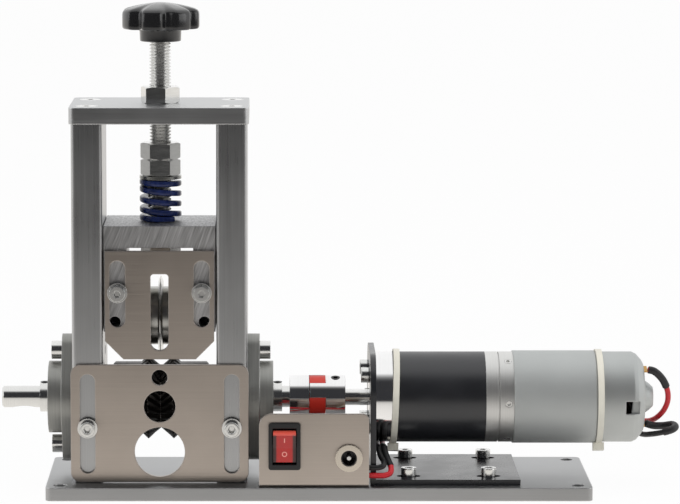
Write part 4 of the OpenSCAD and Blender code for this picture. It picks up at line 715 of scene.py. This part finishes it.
class STRIPPER_OT_screw(StripperStep, bpy.types.Operator):
    """Threaded pressure screw"""
    bl_idname = "stripper.screw"
    bl_label = "Pressure Screw"

    def make(self, c, s):
        steel = worked_metal("Rolled thread steel", c.chrome, 0.28, lines(300, 300, 1500),
                             mark=0.08, relief=0.05)
        low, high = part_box("pressure_screw")
        rise, rows_per_turn = high.z - low.z, 10
        mesh = grown("thread", thread_tree(), {
            "Radius": (high.x - low.x) / 2, "Depth": s.thread_depth, "Pitch": s.thread_pitch, "Length": rise,
            "Rows": int(rise / s.thread_pitch * rows_per_turn), "Material": steel}, on_foot(low, high))
        new_object("threaded_screw", mesh, None, "screw", "pressure_screw", slot="plain_steel", smooth=50)


class STRIPPER_OT_spring(StripperStep, bpy.types.Operator):
    """Blue die spring"""
    bl_idname = "stripper.spring"
    bl_label = "Die Spring"

    def make(self, c, s):
        low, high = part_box("pressure_spring")
        finish = Finish("Spring enamel", c.spring, 0.3, Coat_Weight=0.5, Coat_Roughness=0.15)
        g = finish.graph
        wear = finish.use("clouds", {"Clouds": 250, "Grain": 3000})
        finish.shade(wear.outputs["Clouds"], 0.25)
        height, flat = g.parts(g.place())[2], 0.45 * MM
        ground = g.math("ADD", g.math("LESS_THAN", height, low.z + flat),
                        g.math("GREATER_THAN", height, high.z - flat), clamp=True)
        finish.over(ground, tone(200, 200, 198))
        g.feed(finish.surface.inputs["Metallic"], ground)
        finish.rough = g.math("ADD", g.math("MULTIPLY", wear.outputs["Clouds"], 0.1), 0.22)
        finish.bump(wear.outputs["Clouds"], 0.15)
        end_turn = Matrix.Rotation(math.radians(315), 4, "Z")
        mesh = grown("spring", spring_tree(), {
            "Turns": s.spring_turns, "Radius": (high.x - low.x) / 2 - s.spring_wire_w / 2,
            "Height": high.z - low.z, "Wire Width": s.spring_wire_w, "Wire Height": s.spring_wire_h,
            "Material": finish.done()}, on_foot(low, high) @ end_turn)
        piece = new_object("die_spring", mesh, None, "seat", "pressure_spring", slot="blue_paint", smooth=35)
        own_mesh(piece)


# share of the outline, height in mm over the knob's foot, how far it follows the lobes
KNOB_PROFILE = (
    (0.30, 0.15, 0), (0.50, 0.0, 0), (0.525, 0.3, 0), (0.535, 4.6, 0), (0.56, 5.4, 0.1), (0.66, 5.7, 0.6),
    (0.88, 5.65, 1), (0.965, 5.9, 1), (0.995, 6.6, 1), (1.0, 7.6, 1), (1.0, 12.4, 1), (0.99, 13.6, 1),
    (0.955, 14.5, 1), (0.88, 15.2, 1), (0.72, 16.0, 0.8), (0.5, 16.9, 0.35), (0.3, 17.5, 0.1), (0.1, 17.9, 0),
    (0.02, 17.95, 0))


class STRIPPER_OT_knob(StripperStep, bpy.types.Operator):
    """Moulded star knob"""
    bl_idname = "stripper.knob"
    bl_label = "Star Knob"

    def make(self, c, s):
        gloss = moulded("Moulded knob plastic", c.knob, 0.18, relief=0.03, clouds=0.15, Coat_Weight=0.5,
                        Coat_Roughness=0.12)
        low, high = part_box("star_knob")
        centre = (low + high) / 2
        outer = max(high.x - low.x, high.y - low.y) / 2
        lobes, steps = 7, 168
        crest, hollow = 0.42, 0.58

        def edge(angle):
            valley = abs(((angle * lobes / (2 * math.pi) + 0.5) % 1) - 0.5) * 2
            depth = max(0.0, (valley - crest) / hollow)
            return outer - s.knob_notch * (depth * depth * (3 - 2 * depth))

        sections = []
        for share, z, lobed in KNOB_PROFILE:
            section = []
            for k in range(steps):
                angle = 2 * math.pi * k / steps
                r = share * (outer + (edge(angle) - outer) * lobed)
                section.append((centre.x + r * math.cos(angle), centre.y + r * math.sin(angle),
                                low.z + z * MM))
            sections.append(section)
        new_object("lobed_knob", skin(sections, "knob"), gloss, "screw", "star_knob",
                   slot="black_plastic", smooth=50)


class STRIPPER_OT_bracket(StripperStep, bpy.types.Operator):
    """Painted motor bracket"""
    bl_idname = "stripper.bracket"
    bl_label = "Motor Bracket"

    def make(self, c, s):
        paint = moulded("Satin black bracket paint", c.paint, 0.28, relief=0.06, clouds=0.15,
                        edge=s.edge * 1.2, Coat_Weight=0.2, Coat_Roughness=0.25)
        dress(paint, "motor_bracket")


class STRIPPER_OT_motor(StripperStep, bpy.types.Operator):
    """Gearbox and motor, outside and inside"""
    bl_idname = "stripper.motor"
    bl_label = "Gear Motor"

    def make(self, c, s):
        cover = worked_metal("Polished gearbox cover", c.polished, 0.1, lines(2400, 0, 0),
                             mark=0.03, relief=0.02, spread=0.04, edge=s.edge)
        sleeve = moulded("Blackened gearbox sleeve", c.paint, 0.34, relief=0.04, clouds=0.12, edge=s.edge,
                         Specular_IOR_Level=0.8)
        ring = worked_metal("Machined ring", c.chrome, 0.5, lines(2400, 0, 0),
                            mark=0.05, relief=0.05, spread=0.05, edge=s.edge * 0.8)
        can = worked_metal("Zinc-plated can", c.can, 0.62, lines(900, 900, 900),
                           mark=0.02, relief=0.02, clouds=0.04, edge=s.edge * 1.6, bright=0.3, metallic=0.65)
        cap = worked_metal("Pressed end cap", c.can, 0.56, rings(DRIVE_CENTRE, 500),
                           mark=0.03, relief=0.04, clouds=0.07, edge=s.edge * 2.2, bright=0.3, metallic=0.85)
        bronze = worked_metal("Sintered bronze", c.brass, 0.35, rings(DRIVE_CENTRE, 900),
                              mark=0.08, relief=0.06)
        steel = worked_metal("Carrier steel", c.steel, 0.3, rings(DRIVE_CENTRE, 1200),
                             mark=0.06, relief=0.06)
        magnet = worked_metal("Ferrite magnet", tone(62, 62, 66), 0.55, lines(900, 900, 900), mark=0.15)
        stack = Finish("Lamination stack", tone(150, 142, 132), 0.45, metallic=1.0)
        leaves_per_metre, winding = 2000, 13 * MM
        g = stack.graph
        x = g.parts(g.place())[0]
        leaf = g.math("PINGPONG", g.math("MULTIPLY", x, leaves_per_metre), 0.5)
        stack.shade(g.span(leaf, 0, 0.5), 0.3)
        copper = g.math("GREATER_THAN", x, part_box("armature")[1].x - winding)
        stack.over(copper, tone(184, 108, 66))
        stack.bump(leaf, 0.4)
        dress(cover, "gearbox_front_cover")
        dress(sleeve, "ring_gear")
        dress(ring, "gearbox_rear_plate", "motor_front_plate")
        dress(can, "motor_can")
        dress(cap, "motor_end_cap")
        dress(bronze, "output_planet_1", "output_planet_2", "output_planet_3", "input_planet_1",
              "input_planet_2", "input_planet_3", "brush_terminals")
        dress(steel, "first_carrier", "motor_shaft")
        dress(magnet, "motor_magnets")
        dress(stack.done(), "armature")


# middles of the leads, in mm
RED_ROUTE = [
    (152.8, -5, 55.2), (156, -4.6, 54.3), (159.6, -3.2, 50.8), (161.9, -1.6, 46.4), (162.9, 0, 42.2),
    (162.6, 2, 38), (160.8, 5.5, 33.4), (157.5, 11, 29.2), (153.4, 17.6, 27.4), (147.5, 22.4, 29.6),
    (141, 23.4, 33.4), (134, 23.4, 34), (38, 23.4, 34), (32.6, 23.5, 34), (30.8, 25.2, 32.4),
    (30.3, 26.3, 28.8), (30.3, 25.6, 24.6), (30.3, 21.6, 20.2), (30.3, 15, 18.2), (30.3, 4, 17.8),
    (30.3, -6, 18.6), (30.3, -14, 20.6), (30.4, -20, 20.9), (30.8, -25, 19.2), (31.8, -28.8, 17),
    (33, -31.6, 14.4), (32.6, -34.1, 12), (29.8, -34.9, 11), (25, -34.8, 11), (20, -34, 11),
    (10, -31.5, 11.2), (0, -26.5, 12), (-6, -20.5, 13.6), (-10.6, -15.4, 15.8), (-13.8, -13.4, 18.2),
    (-15.6, -14.2, 20.2), (-15.8, -17.4, 20.6), (-15.8, -21, 20.6)]
BLACK_ROUTE = [
    (152.8, 5, 28.4), (157, 6.2, 27), (161.6, 7.4, 26.8), (165.6, 6.6, 27.4), (166.8, 3.4, 27),
    (165, 0.2, 26.2), (160.6, -0.4, 25), (155.6, 2.6, 23.6), (151.6, 9, 22.6), (147.6, 17.2, 24.2),
    (141.8, 22.4, 28), (134, 23.4, 30), (38, 23.4, 30), (32.4, 23.4, 30), (29.4, 23.4, 28.6),
    (27.7, 22.6, 25), (27.6, 19.4, 21), (27.6, 14, 18.6), (27.6, 4, 17.8), (27.6, -6, 18.6),
    (27.6, -14, 20.6), (27.7, -20, 20.9), (28, -25, 19.4), (28.8, -28.9, 18), (29.8, -31.9, 16.6),
    (29.2, -34.2, 15.2), (26.6, -34.9, 14.6), (23, -34.6, 14.6), (20.4, -31.6, 14.6),
    (20.2, -26, 15), (19.2, -20.8, 16), (16.6, -18, 17.2), (14.2, -18.4, 18), (13.6, -20.6, 18),
    (13.6, -23, 18)]
LINK_ROUTE = [
    (13.6, -23, 21.6), (13.6, -20, 21.6), (11.4, -17.6, 22.4), (4, -16.4, 24.4), (-6, -16, 27),
    (-12, -15.4, 29), (-15.2, -16.2, 29.8), (-15.8, -18.4, 29.8), (-15.8, -21, 29.8)]


class STRIPPER_OT_leads(StripperStep, bpy.types.Operator):
    """Red and black leads with their sleeves, and the cable ties"""
    bl_idname = "stripper.leads"
    bl_label = "Leads and Ties"

    def make(self, c, s):
        red = moulded("Red insulation", c.red_lead, 0.35, relief=0.04)
        black = moulded("Black insulation", c.black_lead, 0.38, relief=0.04)
        sleeve = moulded("Shrink sleeve", tone(34, 34, 36), 0.5, relief=0.1)
        nylon = moulded("Natural nylon", c.nylon, 0.4, relief=0.03, edge=s.edge * 0.6)
        dress(nylon, "cable_ties")
        bare, shrunk, lip = 1.3 * MM, 0.12 * MM, 0.5 * MM
        for name, route, material, node in (("red_wire", RED_ROUTE, red, "red_lead"),
                                            ("black_wire", BLACK_ROUTE, black, "black_lead")):
            new_object(name, tube(smooth_path(route), bare, name), material, "frame", node,
                       slot="red_insulation" if node == "red_lead" else "black_insulation")
        new_object("link_wire", tube(smooth_path(LINK_ROUTE), bare, "link"), red, "frame",
                   slot="red_insulation")
        # each sleeve covers its lead from one point of the route to another
        for name, route, first, last, wall in (("red_rear_sleeve", RED_ROUTE, 0, 3, s.sleeve),
                                               ("black_rear_sleeve", BLACK_ROUTE, 0, 6, s.sleeve),
                                               ("red_front_sleeve", RED_ROUTE, 19, 25, shrunk)):
            line = smooth_path(route)[first * PATH_STEPS:last * PATH_STEPS + 1]
            new_object(name, tube(line, bare + wall, name, rounded=lip), sleeve, "frame",
                       slot="black_insulation")


class STRIPPER_OT_switch(StripperStep, bpy.types.Operator):
    """Rocker switch and its marks"""
    bl_idname = "stripper.switch"
    bl_label = "Switch"

    def make(self, c, s):
        bezel = moulded("Switch frame plastic", tone(30, 30, 31), 0.34, edge=s.edge * 1.2)
        low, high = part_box("switch_rocker")
        x, middle = (low.x + high.x) / 2, (low.z + high.z) / 2
        rocker = Finish("Tinted rocker plastic", c.rocker, 0.22, Coat_Weight=0.5, Coat_Roughness=0.1)
        g = rocker.graph
        edges = rocker.use("edges", {"Radius": s.edge * 1.6})
        rocker.normal = edges.outputs["Normal"]
        across, _, height = g.parts(g.place())
        aside = g.math("ABSOLUTE", g.math("SUBTRACT", across, x))
        # painted shade darkens its flanks and a painted highlight lies along its upper edge
        face, flank, edge_low, edge_high = 3.2 * MM, 4.2 * MM, 2.4 * MM, 1.2 * MM
        rocker.over(g.span(aside, face, flank, kind="SMOOTHSTEP"), tone(52, 8, 8))
        upper_edge_highlight = g.span(height, high.z - edge_low, high.z - edge_high, kind="SMOOTHSTEP")
        rocker.over(upper_edge_highlight, tone(236, 96, 80))
        # a bar over a ring
        bar_z, bar_half, bar_w, ring_z, ring_r, stroke = (v * MM for v in (3.4, 1.1, 0.22, 3.2, 1.0, 0.2))
        upper = g.math("COMPARE", height, middle + bar_z, bar_half)
        bar = g.math("MULTIPLY", g.math("LESS_THAN", aside, bar_w), upper)
        up = g.math("SUBTRACT", height, middle - ring_z)
        from_mark = g.vector("LENGTH", g.joined(aside, up, 0.0))
        ring = g.math("COMPARE", from_mark, ring_r, stroke)
        rocker.over(g.math("MAXIMUM", bar, ring), tone(250, 170, 158))
        dress(bezel, "switch_body")
        dress(rocker.done(), "switch_rocker")


class STRIPPER_OT_jack(StripperStep, bpy.types.Operator):
    """Power jack: steel ring, black core, bright pin"""
    bl_idname = "stripper.jack"
    bl_label = "Power Jack"

    def make(self, c, s):
        low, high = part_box("power_jack")
        x, z = (low.x + high.x) / 2, (low.z + high.z) / 2
        finish = Finish("Jack steel and core", tone(214, 205, 192), 0.25)
        g = finish.graph
        finish.normal = finish.use("edges", {"Radius": s.edge}).outputs["Normal"]
        centre, across = (x, 0, z), (1, 0, 1)
        core_r, pin_r = 3.6 * MM, 1.04 * MM
        from_axis = g.vector("LENGTH", g.vector("MULTIPLY", g.vector("SUBTRACT", g.place(), centre), across))
        finish.shade(finish.use(*rings(centre, 1600, across)).outputs["Tone"], 0.05)
        core = g.math("LESS_THAN", from_axis, core_r)
        pin = g.math("LESS_THAN", from_axis, pin_r)
        finish.over(core, tone(16, 16, 16))
        finish.over(pin, tone(222, 222, 220))
        g.feed(finish.surface.inputs["Metallic"], g.math("SUBTRACT", 1.0, g.math("SUBTRACT", core, pin)))
        dress(finish.done(), "power_jack")


WHITE = (1, 1, 1)
FLOOR_REACH, FLOOR_Z = 4, -0.0002
# name, place, size and the setting that holds its power
LAMPS = (("overhead_softbox", (0, -0.25, 1.3), 1.2, "key"), ("left_strip", (-1.3, -0.5, 0.5), 0.7, "side"),
         ("right_strip", (1.3, -0.5, 0.5), 0.7, "side"))
LAMPS_AIM = (0, 0, 0.08)
# the camera stands in front and looks slightly down
VIEW_PLACE, VIEW_DOWN = (-0.0224, -1.710, 0.3244), 7.16
SENSOR, PICTURE_WIDTH, FOCAL_PIXELS, VIEW_SHIFT = 36, 680, 3720, 0.1029


def seen_by_metal(g, path):
    """Mask of the rays that a reflection or a refraction sends out."""
    return g.math("MAXIMUM", path.outputs["Is Glossy Ray"], path.outputs["Is Transmission Ray"])


def emptied(owner):
    """Graph of a material or world without its first nodes."""
    owner.use_nodes = True
    owner.node_tree.nodes.clear()
    return Graph(owner.node_tree)


class STRIPPER_OT_stage(bpy.types.Operator):
    """Pale floor, soft lights, camera and surroundings"""
    bl_idname = "stripper.stage"
    bl_label = "Studio"

    def floor(self, scene, studio):
        mesh = bpy.data.meshes.new("floor")
        corners = [(x * FLOOR_REACH, y * FLOOR_REACH, FLOOR_Z)
                   for x, y in ((-1, -1), (1, -1), (1, 1), (-1, 1))]
        mesh.from_pydata(corners, [], [(0, 1, 2, 3)])
        floor = bpy.data.objects.new("floor", mesh)
        scene.collection.objects.link(floor)
        white = bpy.data.materials.new("Pale floor")
        g = emptied(white)
        path = g.add("ShaderNodeLightPath")
        y = g.parts(g.add("ShaderNodeNewGeometry").outputs["Position"])[1]
        # metal sees a warm floor that darkens over the first metre in front
        ahead = g.span(g.math("MULTIPLY", y, -1.0), 0.0, 1.0)
        near = g.mix(ahead, (0.95, 0.92, 0.88), (studio.far_floor,) * 3)
        mirror = seen_by_metal(g, path)
        matte = g.add("ShaderNodeBsdfDiffuse", {"Color": (0.9, 0.9, 0.9)})
        glow = g.add("ShaderNodeEmission", {"Color": g.mix(mirror, WHITE, near), "Strength": 1.0})
        # the camera gets almost pure white, so that a faint shadow stays
        part = g.math("MAXIMUM", mirror, g.math("MULTIPLY", path.outputs["Is Camera Ray"], 0.96))
        blend = g.add("ShaderNodeMixShader", {0: part, 1: matte, 2: glow})
        g.add("ShaderNodeOutputMaterial", {"Surface": blend})
        mesh.materials.append(white)

    def air(self, scene, studio):
        scene.world = bpy.data.worlds.new("Studio air")
        g = emptied(scene.world)
        _, y, z = g.parts(g.place("Generated"))
        # metal sees a dark room in front, which opens to white overhead
        facing = g.span(g.math("MULTIPLY", y, -1.0), 0.08, 0.45, kind="SMOOTHSTEP")
        above = g.math("POWER", g.span(z, 0.62, 0.94), 5.0)
        dark = g.math("MULTIPLY", facing, g.math("SUBTRACT", 1.0, above))
        room = g.mix(dark, WHITE, (studio.front, studio.front, studio.front * 1.1))
        path = g.add("ShaderNodeLightPath")
        shown = g.mix(seen_by_metal(g, path), (studio.air,) * 3, room)
        shown = g.mix(path.outputs["Is Camera Ray"], shown, WHITE)
        g.add("ShaderNodeOutputWorld",
              {"Surface": g.add("ShaderNodeBackground", {"Color": shown, "Strength": 1.0})})

    def lights(self, scene, studio):
        for name, place, size, setting in LAMPS:
            lamp = bpy.data.lights.new(name, "AREA")
            lamp.size, lamp.energy = size, getattr(studio, setting)
            item = bpy.data.objects.new(name, lamp)
            item.location = place
            # the softbox would be a hard white band in the round metal
            item.visible_glossy = name != "overhead_softbox"
            item.rotation_euler = (Vector(LAMPS_AIM) - Vector(place)).to_track_quat("-Z", "Y").to_euler()
            scene.collection.objects.link(item)

    def camera(self, scene):
        view = bpy.data.cameras.new("view")
        view.sensor_width, view.shift_x = SENSOR, VIEW_SHIFT
        view.lens = FOCAL_PIXELS / PICTURE_WIDTH * SENSOR
        view.clip_end = 20
        camera = bpy.data.objects.new("view", view)
        camera.location = VIEW_PLACE
        camera.rotation_euler = (math.radians(90 - VIEW_DOWN), 0, 0)
        scene.collection.objects.link(camera)
        scene.camera = camera

    def execute(self, context):
        scene, studio = context.scene, context.scene.stripper_studio
        scene.view_settings.view_transform = "Standard"
        self.floor(scene, studio)
        self.air(scene, studio)
        self.lights(scene, studio)
        self.camera(scene)
        return {"FINISHED"}


# -------- add-on

STEPS = (STRIPPER_OT_stage, STRIPPER_OT_frame, STRIPPER_OT_fasteners, STRIPPER_OT_bearings, STRIPPER_OT_feed,
         STRIPPER_OT_plates, STRIPPER_OT_yoke, STRIPPER_OT_blade, STRIPPER_OT_screw, STRIPPER_OT_spring,
         STRIPPER_OT_knob, STRIPPER_OT_bracket, STRIPPER_OT_motor, STRIPPER_OT_leads, STRIPPER_OT_switch,
         STRIPPER_OT_jack)


class STRIPPER_PT_panel(bpy.types.Panel):
    bl_idname = "STRIPPER_PT_panel"
    bl_label = "Wire Stripper"
    bl_space_type = "VIEW_3D"
    bl_region_type = "UI"
    bl_category = "Wire Stripper"

    def draw(self, context):
        for step in STEPS:
            self.layout.operator(step.bl_idname)
        for name, _ in VALUES:
            values = getattr(context.scene, name)
            box = self.layout.box()
            for setting in values.__annotations__:
                box.prop(values, setting)


VALUES = (("stripper_colours", StripperColours), ("stripper_sizes", StripperSizes),
          ("stripper_studio", StripperStudio))
CLASSES = (StripperColours, StripperSizes, StripperStudio, *STEPS, STRIPPER_PT_panel)


def register():
    for item in CLASSES:
        bpy.utils.register_class(item)
    for name, kind in VALUES:
        setattr(bpy.types.Scene, name, bpy.props.PointerProperty(type=kind))


def unregister():
    for name, _ in VALUES:
        delattr(bpy.types.Scene, name)
    for item in reversed(CLASSES):
        bpy.utils.unregister_class(item)


def main():
    register()
    for step in STEPS:
        getattr(bpy.ops.stripper, step.bl_idname.split(".")[1])()


if __name__ == "__main__":
    main()
